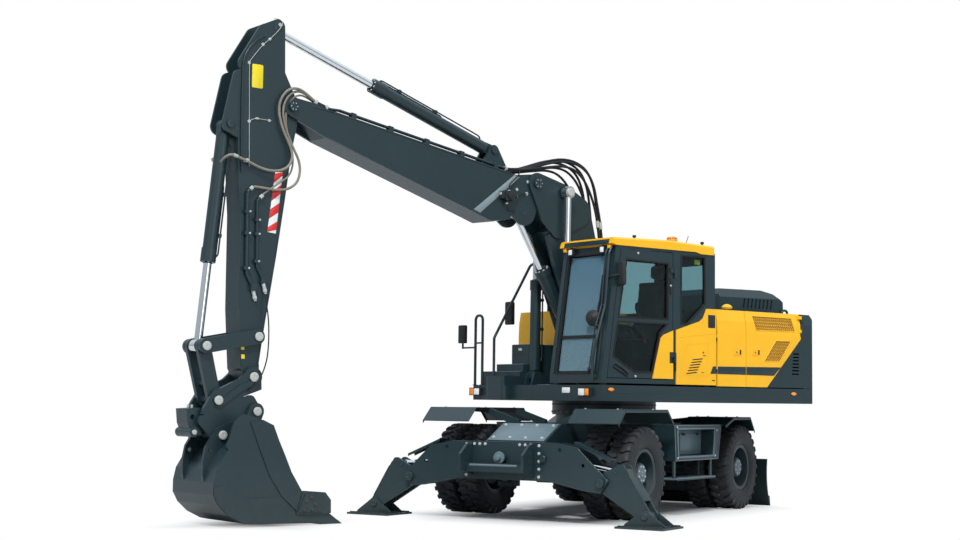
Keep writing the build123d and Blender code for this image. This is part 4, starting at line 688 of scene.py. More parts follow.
def legPieces():
    for sign, hand in ((1, "left"), (-1, "right")):
        title = hand.title()
        footY, footZ = sign * under["foot"][0], under["foot"][1]
        low, high = Vector((sign * under["corner"][0], under["corner"][1])), Vector((footY, footZ))
        welds = Shape()
        for x in (2.264, 2.461):
            start, end = low.lerp(high, 0.16), low.lerp(high, 0.86)
            out = Vector((sign * 0.051, 0.026)) * 1.02
            welds.rod((x, *(start + out)), (x, *(end + out * 1.1)), 0.005, 8)
        # Cover strip over the arm's outer edge
        normal = Vector((high.y - low.y, low.x - high.x)).normalized() * sign * -1
        a, b = low.lerp(high, 0.05) + normal * 0.05, low.lerp(high, 0.74) + normal * 0.0632
        lift = normal * under["sheet"]
        welds.prism([tuple(p) for p in (a, b, b + lift, a + lift)], 2.268, 2.457, "yz")
        welds.piece("armStrip" + title, "stabiliser_arm_" + hand, "darkPaint", bevel=0.0015, turn=underTurn)
        y, z = under["eye"]
        caps = [((x, sign * y, z), (aim, 0, 0), (0.034, 0.034, 0.014))
                for x, aim in ((2.4625, 1), (2.2625, -1))]
        caps += [((x, footY, footZ), (aim, 0, 0), (0.04, 0.04, 0.024))
                 for x, aim in ((2.486, 1), (2.239, -1))]
        scatterCopies("armPins" + title, "stabiliser_arm_" + hand, "darkPaint", pinEnd, caps, underTurn)
        # Guard over the cylinder, from the arm's eye to the beam's shoulder
        guard = Shape()
        drop = under["guardDrop"]
        for x0, x1, down in ((2.292, 2.436, 0.0), (2.292, 2.298, drop), (2.430, 2.436, drop)):
            guard.prism([(sign * 1.29, 0.7025 - down), (sign * 0.86, 0.884 - down),
                         (sign * 0.86, 0.884 + under["sheet"]), (sign * 1.29, 0.7025 + under["sheet"])],
                        x0, x1, "yz")
        guard.piece("rodGuard" + title, "stabiliser_rod_" + hand, "darkPaint", bevel=0.001, turn=underTurn)
        # Ribs of the pad
        ribs = Shape()
        for y in (-0.21, 0.21):
            ribs.prism([(2.16, 0.022), (2.56, 0.022), (2.50, 0.036), (2.22, 0.036)], footY + y - 0.006,
                       footY + y + 0.006)
        for x in (2.128, 2.592):
            ribs.box((x - 0.006, footY - 0.255, 0.0215), (x + 0.006, footY + 0.255, 0.034))
        # Three-cornered cheeks outside the arm's plates
        half = [(0.235, 0.022), (0.235, 0.040), (0.060, footZ + 0.040), (0.030, footZ + 0.066)]
        cheek = [(footY - half[0][0], half[0][1])] + [(footY + y, z) for y, z in half]
        cheek += [(footY - y, z) for y, z in reversed(half[1:])]
        for x0, x1 in ((2.466, 2.480), (2.245, 2.259)):
            ribs.prism(cheek, x0, x1, "yz")
        ribs.piece("padRibs" + title, "stabiliser_pad_" + hand, "darkPaint", bevel=0.001, turn=underTurn)


def sidePieces():
    for sign, low, high in sides((under["boxFace"], under["boxFace"] + 0.012)):
        hand = "Left" if sign == 1 else "Right"
        outer = [(-0.85, 1.069), (0.56, 1.069), (0.522, 0.645), (-0.757, 0.645)]
        inner = [(-0.622, 1.013), (0.465, 1.013), (0.44, 0.701), (-0.59, 0.701)]
        rim = Shape().border(inset(inner, -0.022), inner, low, high)
        rim.border(outer, inset(outer, 0.012), low, 1.206 if sign == 1 else high)
        rim.piece("boxRim" + hand, "undercarriage", "paleFrame", bevel=0.003, turn=underTurn)
        panel = Shape()
        near, far = span(sign, 1.035, 1.046)
        for part in ([(-0.60, 1.0), (0.14, 1.0), (0.14, 0.712), (-0.575, 0.712)],
                     [(0.15, 1.0), (0.452, 1.0), (0.428, 0.712), (0.15, 0.712)]):
            panel.prism(part, near, far)
        near, far = span(sign, 1.046, 1.056)
        panel.prism([(-0.52, 0.96), (0.07, 0.96), (0.07, 0.75), (-0.505, 0.75)], near, far)
        panel.piece("boxPanels" + hand, "undercarriage", "paleFrame", bevel=0.003, turn=underTurn)
        grips = Shape()
        near, far = span(sign, 1.044, 1.075)
        for x in (0.19, 0.30):
            grips.box((x, near, 0.80), (x + 0.014, far, 0.93))
        bar = span(sign, 1.064, 1.075)
        grips.box((0.19, bar[0], 0.80), (0.314, bar[1], 0.93))
        for x in (-0.44, -0.02):
            grips.box((x - 0.03, near, 0.94), (x + 0.03, far, 0.965))
        grips.piece("boxGrips" + hand, "undercarriage", "blackPlastic", bevel=0.003, turn=underTurn)
        # Teeth of the step and its folded edges
        near, far = span(sign, 1.003, 1.237)
        rows = [((-0.57 + 0.0405 * k, (near + far) / 2, under["stepTop"] + 0.004), Euler((0, 0, 0)),
                 (0.006, far - near, 0.016)) for k in range(29)]
        rows += [((-0.01, y, under["stepTop"] + 0.002), Euler((0, 0, 0)), (1.15, 0.006, 0.022))
                 for y in (sign * 1.003, sign * 1.085, sign * 1.16, sign * 1.237)]
        scatterCopies("stepTeeth" + hand, "undercarriage", "paleFrame", bladeBar, rows, underTurn)
        bolts = [((x, sign * 1.212, z), (0, sign, 0), 0.010) for x, z in
                 ((-0.69, 1.0), (-0.64, 0.69), (0.50, 1.04), (0.48, 0.68))]
        scatterCopies("boxBolts" + hand, "undercarriage", "zincPlate", hexBolt, bolts, underTurn)
        # Rolled lips of the wings
        lips, lipBolts = Shape(), []
        near, far = span(sign, 1.258, 1.266)
        for wing in wings:
            lips.prism([(x, z + 0.001) for x, z in wing] + [(x, z - 0.034) for x, z in reversed(wing)], near,
                       far)
            for x in (wing[1][0] + 0.10, wing[2][0] - 0.10):
                lipBolts += [((x, sign * y, wing[1][1]), (0, 0, 1), 0.011) for y in (0.72, 1.12)]
        lips.piece("wingLips" + hand, "undercarriage", "darkPaint", bevel=0.0015, turn=underTurn)
        scatterCopies("wingBolts" + hand, "undercarriage", "zincPlate", hexBolt, lipBolts, underTurn)


def ringPieces():
    bolts = []
    count, circle, height = 40, 0.64, 1.205
    for k in range(count):
        angle = 2 * math.pi * (k + 0.5) / count
        aim = (math.cos(angle), math.sin(angle), 0)
        bolts.append(((circle * aim[0], circle * aim[1], height), aim, 0.012))
    scatterCopies("ringBolts", "undercarriage", "zincPlate", hexBolt, bolts)
    seal = Shape().spun(rect(1.292, 0.62, 1.306, 0.645), steps=96)
    seal.piece("ringSeal", "undercarriage", "blackRubber")


def bladePieces():
    edge = Shape().prism([(-2.384, 0.006), (-2.362, 0.13), (-2.349, 0.127), (-2.372, 0.006)], -1.262, 1.262)
    edge.piece("bladeEdge", "blade", "castIron", bevel=0.001, turn=underTurn)
    bolts = [((-2.372, -1.15 + 0.2091 * k, 0.07), (-1, 0, 0.18), 0.014) for k in range(12)]
    scatterCopies("bladeBolts", "blade", "zincPlate", hexBolt, bolts, underTurn)
    caps = [((-1.75, sign * 0.394, 0.52), (0, sign, 0), (0.05, 0.05, 0.02)) for sign in (1, -1)]
    scatterCopies("bladePins", "blade", "pinCap", pinEnd, caps, underTurn)


beamPieces()
legPieces()
sidePieces()
ringPieces()
bladePieces()
print("undercarriage made")


# Upper body: stripe, latches, mesh of the grilles, lamps, steps, hood and tail details

upper = {
    "side": 1.265, "plate": 1.2626, "deckFront": 1.159, "shoulder": 2.185, "top": 2.465, "meshRadius": 0.0048,
    "meshPitch": 0.021, "meshSlope": 0.62, "lamp": 1.1992, "buttonPitch": 0.045,
}
grilleOutlines = [[(-1.323, 2.41), (-2.036, 2.408), (-2.083, 2.242), (-1.368, 2.235)],
                  [(-1.726, 2.115), (-2.007, 2.118), (-1.8, 1.863), (-1.513, 1.856)]]


def leanIn(z):
    # How far a side panel leans in at height z
    if z < upper["top"] - 0.135:
        return max(0.0, 0.009 * (z - upper["shoulder"]) / (upper["top"] - 0.135 - upper["shoulder"]))
    return 0.009 + 0.03 * (z - upper["top"] + 0.135) / 0.135


def clipped(outline, slope, pitch):
    # Lines across an outline of four corners, all with one slope, a pitch apart
    normal = Vector((-math.sin(slope), math.cos(slope)))
    along = Vector((math.cos(slope), math.sin(slope)))
    spread = [Vector(p).dot(normal) for p in outline]
    found = []
    level = min(spread) + pitch / 2
    while level < max(spread):
        hits = []
        for a, b in zip(outline, outline[1:] + outline[:1]):
            a, b = Vector(a), Vector(b)
            da, db = a.dot(normal) - level, b.dot(normal) - level
            if da * db < 0:
                hits.append(a.lerp(b, da / (da - db)))
        if len(hits) == 2 and (hits[0] - hits[1]).length > 0.02:
            hits.sort(key=lambda p: p.dot(along))
            found.append(hits)
        level += pitch
    return found


def grillePieces():
    for sign, body, hand in ((1, "rear_panel_door", "Left"), (-1, "upper", "Right")):
        mesh, rims = Shape(), Shape()
        for outline in grilleOutlines:
            for slope in (upper["meshSlope"], -upper["meshSlope"]):
                for a, b in clipped(outline, slope, upper["meshPitch"]):
                    ends = [(p.x, sign * (upper["side"] - leanIn(p.y) - 0.0065), p.y) for p in (a, b)]
                    mesh.rod(*ends, upper["meshRadius"], 5)
            for a, b in zip(outline, outline[1:] + outline[:1]):
                ends = [(p[0], sign * (upper["side"] - leanIn(p[1]) + 0.0005), p[1]) for p in (a, b)]
                rims.rod(*ends, 0.0055, 8)
        mesh.piece("grilleMesh" + hand, body, "grilleYellow", angle=50)
        rims.piece("grilleRims" + hand, body, "yellowPaint", angle=50)


def sideStrip(name, body, outline, y, sign):
    Shape().prism(outline, *span(sign, y, y + 0.0025)).piece(name, body, "darkPaint", bevel=0.0006)


def panelPieces():
    # Dark stripe in three lengths, one per panel, on the left side, and the two rear lengths on the right
    def stripeZ(x, edge):
        ends = {"high": ((-0.623, 1.772), (-1.818, 1.787)), "low": ((-0.579, 1.683), (-1.688, 1.680))}[edge]
        (x0, z0), (x1, z1) = ends
        return z0 + (z1 - z0) * (x - x0) / (x1 - x0)
    for sign, front, rear, hand in ((1, "front_panel_door", "rear_panel_door", "Left"),
                                    (-1, "upper", "upper", "Right")):
        if sign == 1:
            outline = [(-0.579, 1.683), (-0.623, 1.772), (-0.677, 1.7727), (-0.677, 1.6829)]
            sideStrip("stripeFront" + hand, "upper", outline, upper["plate"], sign)
        for x0, x1, body, name in ((-0.7, -1.189, front, "stripeMid"), (-1.199, None, rear, "stripeRear")):
            outline = [(x0, stripeZ(x0, "low")), (x0, stripeZ(x0, "high"))]
            if x1 is None:
                outline += [(-1.818, 1.787), (-1.688, 1.68)]
            else:
                outline += [(x1, stripeZ(x1, "high")), (x1, stripeZ(x1, "low"))]
            sideStrip(name + hand, body, outline, upper["side"], sign)
        # Latches: a raised rim round a sunken grip
        for x, z, body, name in ((-1.0485, 1.9555, front, "latchFront"), (-1.372, 1.962, rear, "latchRear")):
            rim = Shape()
            low, high = span(sign, upper["side"], upper["side"] + 0.004)
            corners = [(-0.072, -0.030), (-0.060, -0.040), (0.060, -0.040), (0.072, -0.030), (0.072, 0.030),
                       (0.060, 0.040), (-0.060, 0.040), (-0.072, 0.030)]
            outer = [(x + u, z + v) for u, v in corners]
            rim.border(outer, [(x + u * 0.86, z + v * 0.78) for u, v in corners], low, high)
            rim.prism(rect(x - 0.030, z - 0.020, x + 0.045, z + 0.020), low, high)
            rim.piece(name + hand, body, "yellowPaint", bevel=0.001)
            hole = Shape().prism(rect(x - 0.060, z - 0.028, x - 0.034, z + 0.028), low,
                                 upper["side"] + 0.0012 if sign == 1 else high)
            hole.rod((x + 0.02, sign * upper["side"], z), (x + 0.02, sign * (upper["side"] + 0.0055), z),
                     0.010, 20)
            hole.piece(name + "Hole" + hand, body, "blackPlastic")
        places = ((-2.051, 1.46), (1.022, 1.47)) if sign == 1 else ((-2.051, 1.46),)
        marks = [((x, sign * upper["side"], z), (0, sign, 0), (0.045, 0.020, 0.012)) for x, z in places]
        scatterCopies("sideMarkers" + hand, "upper", "amberLens", lensCopy, marks)
    # Key and hinge strip of the cab-side plate, small marks in the hatch
    small = Shape().rod((-0.458, 1.262, 1.933), (-0.458, 1.267, 1.933), 0.010, 20)
    small.boxes(((-0.470, 1.2622, 1.690), (-0.430, 1.2650, 1.697)),
                ((-0.006, 1.2620, 1.703), (0.010, 1.2700, 1.909)),
                ((-0.655, 1.2622, 1.597), (-0.610, 1.2650, 1.609)),
                ((-0.500, 1.2622, 1.893), (-0.455, 1.2650, 1.902)))
    small.piece("plateMarks", "upper", "blackPlastic", bevel=0.001)
    # Cap of the filler beside the hood
    cap = Shape().spun([(0.0, 0.0), (0.0, 0.030), (0.035, 0.030), (0.042, 0.066), (0.066, 0.070),
                        (0.090, 0.046), (0.102, 0.018), (0.104, 0.0)], (-1.235, 0.90, 2.463), steps=28)
    cap.piece("fillerCap", "upper", "yellowPaint")


def deckPieces():
    front, lamp = upper["deckFront"], upper["lamp"]
    lens, amber, frames = Shape(), Shape(), Shape()
    for y, out in ((0.99, 1), (-1.07, -1)):
        a, b = sorted((y - out * 0.088, y + out * 0.012))
        lens.box((lamp, a, 1.402), (1.2042, b, 1.480))
        a, b = sorted((y + out * 0.022, y + out * 0.094))
        amber.box((lamp, a, 1.402), (1.2052, b, 1.480))
        frames.border(rect(y - 0.104, 1.394, y + 0.104, 1.488), rect(y - 0.096, 1.400, y + 0.096, 1.482),
                      lamp, 1.2075, "yz")
    lens.piece("roadLampLens", "upper", "lampGlass", bevel=0.0015)
    amber.piece("indicatorLens", "upper", "amberLens", bevel=0.0015)
    frames.piece("roadLampFrames", "upper", "blackPlastic", bevel=0.001)
    plate = Shape().box((front, 0.565, 1.430), (front + 0.002, 0.705, 1.492))
    plate.piece("deckPlate", "upper", "blankPlate", bevel=0.0005)
    # Fold along the skirt
    skirt = Shape()
    for sign, low, high in sides((upper["side"], upper["side"] + 0.002)):
        skirt.prism(rect(-2.232, 1.428, 1.154 if sign == 1 else 0.99, 1.433), low, high)
    skirt.piece("skirtFold", "upper", "darkPaint", bevel=0.0008)
    # Buttons of the treads on the step boxes and in front of the boom
    rows = []
    for x0, x1, y0, y1, z in ((0.965, 0.995, -1.16, -0.45, 1.69), (0.875, 0.94, -0.94, -0.45, 1.78),
                              (0.38, 0.84, -0.74, -0.45, 2.025), (0.38, 0.94, -1.16, -0.97, 1.69),
                              (1.02, 1.14, 0.10, 0.30, 1.522)):
        across, down = (max(1, int(length / upper["buttonPitch"])) for length in (x1 - x0, y1 - y0))
        for i in range(across + 1):
            for k in range(down + 1):
                rows.append(((x0 + (x1 - x0) * i / across, y0 + (y1 - y0) * k / down, z), (0, 0, 1),
                             (0.011, 0.011, 0.006)))
    scatterCopies("treadButtons", "upper", "paleFrame", lensCopy, rows)
    feet = [((x, y, 1.5245), (0, 0, 1), (0.034, 0.034, 0.010))
            for x, y in ((1.133, -1.155), (1.133, -1.01), (1.12, -0.791))]
    scatterCopies("railFeet", "upper", "darkPaint", collar, feet)
    seams = Shape()
    for y in (-1.1801, -0.4249):
        near, far = sorted((y, y + (0.002 if y > -1 else -0.002)))
        seams.box((0.36, near, 1.60), (0.99, far, 1.604))
    seams.boxes(((1.0003, -1.17, 1.60), (1.0023, -0.78, 1.604)),
                ((0.8603, -0.74, 1.90), (0.8623, -0.44, 1.904)))
    seams.piece("stepSeams", "upper", "blackPlastic")
    handles = Shape().boxes(((1.0003, -1.02, 1.54), (1.0103, -0.96, 1.57)),
                            ((0.8603, -0.62, 1.95), (0.8703, -0.56, 1.98)))
    handles.piece("stepLatches", "upper", "zincPlate", bevel=0.002)


def hoodPieces():
    seal = Shape()
    for sign, low, high in sides((0.598, 0.606)):
        seal.prism(rect(-2.596, 2.469, -1.412, 2.484), low, high)
    seal.box((-2.606, -0.60, 2.469), (-2.599, 0.60, 2.484))
    seal.piece("hoodSeal", "hood", "blackRubber")
    bars = [((-1.863 - 0.072 * k, sign * 0.601, 2.548), (0, sign, 0), (0.030, 0.010, 0.006))
            for sign in (1, -1) for k in range(8)]
    scatterCopies("louvreLips", "hood", "darkPaint", bladeBar, bars)
    tubes("hoodGrab", "hood", "blackPlastic",
          [(0.009, [(-2.30, sign * 0.20, 2.790), (-2.30, sign * 0.20, 2.835), (-2.30, sign * 0.02, 2.835),
                    (-2.30, 0, 2.835)]) for sign in (1, -1)])
    # Muffler's outlet beside the hood
    foot = (-1.62, -0.85, 2.463)
    pipe = Shape().turned([(0.0, 0.056), (0.20, 0.056), (0.20, 0.050), (0.03, 0.050)], foot)
    pipe.turned([(0.0, 0.085), (0.014, 0.085)], foot)
    pipe.piece("outletPipe", "upper", "castIron", bevel=0.001)
    treads = [((-0.90 - 0.06 * i, y, 2.465), (0, 0, 1), (0.012, 0.012, 0.006)) for i in range(8)
              for y in (-1.10, -1.04, -0.98, -0.92, -0.86, -0.80, -0.74, -0.68)]
    scatterCopies("topTreads", "upper", "paleFrame", lensCopy, treads)


def tailPieces():
    # The tail's two arcs: centre and radius of the circle through three points in plan
    a, b, c = Vector((-2.4, 1.265)), Vector((-2.7, 0.9)), Vector((-2.83, 0.0))
    d = 2 * (a.x * (b.y - c.y) + b.x * (c.y - a.y) + c.x * (a.y - b.y))
    cx = (a.length_squared * (b.y - c.y) + b.length_squared * (c.y - a.y)
          + c.length_squared * (a.y - b.y)) / d
    cy = (a.length_squared * (c.x - b.x) + b.length_squared * (a.x - c.x)
          + c.length_squared * (b.x - a.x)) / d
    radius = (a - Vector((cx, cy))).length
    red, amber, cups, hooks = [], [], [], []
    for sign in (1, -1):
        for y, rows in ((0.98, red), (0.86, amber)):
            x = cx - math.sqrt(radius ** 2 - (y - cy) ** 2)
            aim = Vector((x - cx, sign * (y - cy), 0)).normalized()
            rows.append(((x, sign * y, 1.66), tuple(aim), (0.050, 0.036, 0.012)))
            cups.append(((x, sign * y, 1.66), tuple(aim), (0.060, 0.046, 0.006)))
        hooks.append(((-2.46, sign * 0.62, 2.462), (0, 0, 1), (0.048, 0.048, 0.02)))
    scatterCopies("tailLamps", "upper", "redBand", lensCopy, red)
    scatterCopies("tailIndicators", "upper", "amberLens", lensCopy, amber)
    scatterCopies("tailCups", "upper", "blackPlastic", lensCopy, cups)
    tubes("liftingEyes", "upper", "darkPaint",
          [(0.016, [(-2.66, sign * 0.62, 2.42), (-2.66, sign * 0.62, 2.54), (-2.60, sign * 0.62, 2.56),
                    (-2.54, sign * 0.62, 2.54), (-2.54, sign * 0.62, 2.44)]) for sign in (1, -1)])
    camera = Shape().box((-2.845, -0.05, 2.30), (-2.79, 0.05, 2.36))
    camera.rod((-2.842, 0, 2.33), (-2.851, 0, 2.33), 0.02, 24)
    camera.piece("rearCamera", "upper", "blackPlastic", bevel=0.004)


grillePieces()
panelPieces()
deckPieces()
hoodPieces()
tailPieces()
print("upper body made")


# Cab: gaskets, tinted screen, wiper, lamps, mirrors, seat and what hangs on the roof

cab = {
    "side": 1.25, "lampFront": 0.999, "badge": (-0.600, 2.311), "roofLevel": 3.222, "lean": 0.14114,
    "sill": (1.150, 1.64), "seatLow": 2.085, "swell": 0.018,
}
sillX, sillZ = cab["sill"]
screenTurn = Matrix(((1, 0, -cab["lean"], sillX + cab["lean"] * sillZ), (0, 1, 0, 0), (0, 0, 1, 0),
                     (0, 0, 0, 1)))


def frontX(z):
    return sillX - cab["lean"] * (z - sillZ)


upperPane = [(0.11, 2.306), (frontX(2.306) - 0.155, 2.306), (frontX(2.97) - 0.185, 2.985), (0.11, 2.97)]
lowerPane = [(0.118, 2.255), (0.234, 2.142), (0.35, 1.68), (0.64, 1.672), (frontX(1.853) - 0.14, 1.85),
             (frontX(2.255) - 0.155, 2.255)]
rearPane = [(-0.098, 2.262), (-0.098, 3.085), (-0.5, 3.085), (-0.508, 2.515), (-0.205, 2.262)]


def gasketPieces():
    screen = Shape()
    outer = rect(0.423, 1.648, 1.137, 3.062)
    screen.border(outer, inset(outer, 0.022), 0.0008, 0.0065, "yz")
    screen.border(inset(outer, 0.004), inset(outer, 0.021), -0.0235, 0.001, "yz")
    screen.box((-0.0238, 0.436, 2.066), (-0.006, 1.124, 2.100))
    screen.piece("screenGasket", "upper", "blackRubber", bevel=0.0015, turn=screenTurn)
    panes = Shape()
    for outline in (upperPane, lowerPane):
        panes.border(inset(outline, -0.008), inset(outline, 0.012), 1.2505, 1.2545)
        panes.border(inset(outline, 0.001), inset(outline, 0.011), 1.2265, 1.2520)
    panes.piece("doorGaskets", "cab_door", "blackRubber", bevel=0.0012)
    rear = Shape()
    rear.border(inset(rearPane, -0.008), inset(rearPane, 0.014), 1.2505, 1.2545)
    rear.border(inset(rearPane, 0.001), inset(rearPane, 0.013), 1.2315, 1.2520)
    right = [(-0.56, 2.05), (-0.56, 3.085), (frontX(3.085) - 0.1, 3.085), (frontX(2.05) - 0.1, 2.05)]
    rear.border(inset(right, -0.02), inset(right, 0.024), 0.3255, 0.3300)
    rear.border(inset(right, 0.001), inset(right, 0.022), 0.3285, 0.3495)
    back = rect(0.43, 2.45, 1.15, 3.03)
    rear.border(inset(back, -0.02), inset(back, 0.024), -0.6745, -0.6700, "yz")
    rear.border(inset(back, 0.001), inset(back, 0.022), -0.6715, -0.6505, "yz")
    rear.piece("sideGaskets", "upper", "blackRubber", bevel=0.0012)
    # Tint on the windscreen, one sheet before each pane
    tint = Shape()
    for low, high in ((1.684, 2.066), (2.1, 3.026)):
        corners = [tint.mesh.verts.new((-0.0232, y, z)) for y, z in rect(0.459, low, 1.101, high)]
        tint.mesh.faces.new(corners)
    tint.piece("screenTint", "upper", "screenTint", turn=screenTurn)


def wiperPieces():
    wiper = Shape()
    wiper.boxes(((0.004, 1.070, 2.16), (0.012, 1.082, 2.80)), ((-0.020, 1.073, 2.16), (0.004, 1.078, 2.80)))
    wiper.rod((0.020, 1.040, 1.70), (0.018, 1.076, 2.48), 0.007, 10)
    wiper.rod((0.002, 1.040, 1.70), (0.030, 1.040, 1.70), 0.020, 20)
    wiper.piece("wiper", "upper", "blackPlastic", bevel=0.001, turn=screenTurn)


def roofPieces():
    lens, cups, amber = Shape(), Shape(), Shape()
    for y in (0.51, 1.07):
        front = cab["lampFront"]
        lens.box((front + 0.0005, y - 0.033, 3.060), (front + 0.005, y + 0.033, 3.122))
        cups.border(rect(y - 0.041, 3.052, y + 0.041, 3.130), rect(y - 0.033, 3.060, y + 0.033, 3.122),
                    front - 0.030, front + 0.008, "yz")
    lens.piece("workLampLens", "upper", "lampGlass", bevel=0.002)
    cups.piece("workLampCups", "upper", "blackPlastic", bevel=0.0015)
    amber.spun([(0.003, 0.0), (0.003, 0.0635), (0.050, 0.0640), (0.068, 0.058), (0.080, 0.040), (0.084, 0.0)],
               (-0.18, 1.01, 3.245), steps=36)
    amber.piece("beacon", "upper", "amberLens")
    knobs = Shape()
    for x, y in ((0.52, 1.10), (-0.62, 1.08)):
        low, middle, top = (cab["roofLevel"] + rise for rise in (0.0, 0.040, 0.066))
        knobs.rod((x, y, low), (x, y, middle), 0.012, 14)
        knobs.rod((x, y, middle), (x, y, top), 0.022, 18)
    knobs.rod((-0.36, 1.05, 3.225), (-0.415, 1.05, 3.345), 0.004, 8)
    knobs.rod((-0.36, 1.05, 3.215), (-0.36, 1.05, 3.240), 0.016, 14)
    knobs.piece("roofKnobs", "upper", "blackPlastic")
    # Dark strip under the roof's front edge: painted shade that stands for the roof's shaded underside
    undersideShade = Shape().prism([(1.0028, 3.1525), (0.9888, 3.2060), (0.9830, 3.2060), (0.9960, 3.1500)], 0.392,
                           1.188)
    undersideShade.piece("roofFascia", "upper", "darkPaint", bevel=0.001)
    # Hatch in the roof and the seam round its edge
    hatch = Shape().box((-0.45, 0.50, 3.228), (0.35, 1.06, 3.252))
    hatch.piece("roofHatch", "upper", "yellowPaint", bevel=0.006)
    seam = Shape().box((-0.46, 0.49, 3.226), (0.36, 1.07, 3.2465))
    seam.piece("roofHatchSeal", "upper", "blackRubber", bevel=0.003)
    visor = Shape()
    for y in (0.40, 1.18):
        visor.box((0.955, y - 0.022, 3.098), (0.999, y + 0.022, 3.134))
    visor.piece("visorClips", "upper", "yellowPaint", bevel=0.004)


def mirrorPieces():
    # Round mirror before the screen: its dark back with a pressed ring
    aim = (1, 0.46, 0.02)
    back = Shape().spun([(-0.002, 0.0), (-0.002, 0.090), (0.006, 0.093), (0.014, 0.088), (0.020, 0.070),
                         (0.034, 0.052), (0.040, 0.030), (0.052, 0.022), (0.054, 0.0)],
                        (1.097, 1.035, 2.292), aim, 40)
    back.piece("roundMirror", "upper", "blackPlastic", angle=50)
    glass = Shape().turned([(-0.004, 0.084), (-0.001, 0.084)], (1.0745, 1.0250, 2.292), aim, 40)
    glass.piece("roundMirrorGlass", "upper", "mirrorGlass")
    # Door mirror on its own arm
    head = Shape().prism([(1.262, 2.660), (1.356, 2.668), (1.372, 2.690), (1.368, 2.920), (1.350, 2.940),
                          (1.262, 2.936), (1.248, 2.916), (1.250, 2.680)], 0.885, 0.930, "yz")
    head.piece("doorMirror", "upper", "blackPlastic", bevel=0.010, angle=50)
    face = Shape().prism([(1.266, 2.676), (1.350, 2.682), (1.352, 2.924), (1.266, 2.922)], 0.880, 0.8855,
                         "yz")
    face.piece("doorMirrorGlass", "upper", "mirrorGlass", bevel=0.001)
    tubes("doorMirrorArm", "upper", "blackPlastic",
          [(0.009, [(1.006, 1.205, 2.76), (1.000, 1.255, 2.775), (0.965, 1.290, 2.79), (0.925, 1.30, 2.79)]),
           (0.012, [(1.004, 1.185, 2.76), (1.006, 1.222, 2.765)])])
    side = Shape()
    side.prism(rect(-0.940, 2.300, -0.840, 2.555), 0.764, 0.770, "yz")
    side.prism(rect(-1.475, 2.065, -1.365, 2.265), 1.1085, 1.1145, "yz")
    side.piece("rightMirrorGlass", "upper", "mirrorGlass", bevel=0.001)
    shells = Shape()
    shells.prism([(-0.953, 2.284), (-0.827, 2.284), (-0.822, 2.300), (-0.822, 2.555), (-0.832, 2.572),
                  (-0.948, 2.572), (-0.958, 2.555), (-0.958, 2.300)], 0.7705, 0.826, "yz")
    shells.prism([(-1.486, 2.050), (-1.354, 2.050), (-1.350, 2.062), (-1.350, 2.268), (-1.360, 2.280),
                  (-1.480, 2.280), (-1.490, 2.268), (-1.490, 2.062)], 1.1150, 1.160, "yz")
    shells.piece("rightMirrorShells", "upper", "blackPlastic", bevel=0.012, angle=50)


def doorPieces():
    dots = [((x, cab["side"], z), (0, 1, 0), (width, width, height)) for x, z, width, height in
            ((0.596, 3.062, 0.014, 0.008), (0.630, 1.628, 0.014, 0.008), (0.070, 2.710, 0.012, 0.010))]
    scatterCopies("doorCaps", "cab_door", "zincPlate", lensCopy, dots)
    grip = Shape().rod((0.972, 1.2585, 1.734), (0.768, 1.2585, 1.634), 0.0115, 14)
    grip.piece("doorGrip", "cab_door", "blackPlastic", bevel=0.001)
    latch = Shape().boxes(((0.058, 1.2505, 2.60), (0.082, 1.262, 2.69)),
                          ((0.058, 1.2505, 2.735), (0.082, 1.262, 2.80)))
    latch.piece("doorCatch", "cab_door", "blackPlastic", bevel=0.003)
    # Crease of the yellow parts, a fine raised line
    for name, body, a, b in (("creaseDoor", "cab_door", (0.036, 1.2626, 2.092), (0.200, 1.2626, 2.074)),
                             ("creasePlate", "upper", (-0.014, 1.2626, 2.097), (-0.675, 1.2626, 2.172))):
        Shape().rod(a, b, 0.0022, 6).piece(name, body, "yellowPaint")
    x, z = cab["badge"]
    badge = Shape().box((x - 0.060, 1.2622, z - 0.078), (x + 0.060, 1.2642, z + 0.078))
    badge.piece("blankBadge", "upper", "blackPlastic", bevel=0.0008)
    sticker = Shape().box((-0.440, 1.2195, 2.985), (-0.345, 1.2212, 3.045))
    sticker.piece("paneMark", "upper", "safetyYellow")
    for name, finish, low, high, radius in (
            ("redLever", "redBand", (0.30, 1.06, 2.02), (0.318, 1.06, 2.11), 0.018),
            ("whiteLever", "blankPlate", (0.235, 1.06, 2.02), (0.245, 1.06, 2.10), 0.016)):
        Shape().rod(low, high, radius, 16).piece(name, "upper", finish, bevel=0.003)
    knobs = Shape()
    for y in (0.48, 1.10):
        knobs.spun([(-0.02, 0.0), (-0.02, 0.022), (0.02, 0.032), (0.075, 0.030), (0.095, 0.018), (0.10, 0.0)],
                   (0.46, y, 2.40), (0.1, 0, 1), 24)
    knobs.piece("joystickGrips", "upper", "blackRubber")


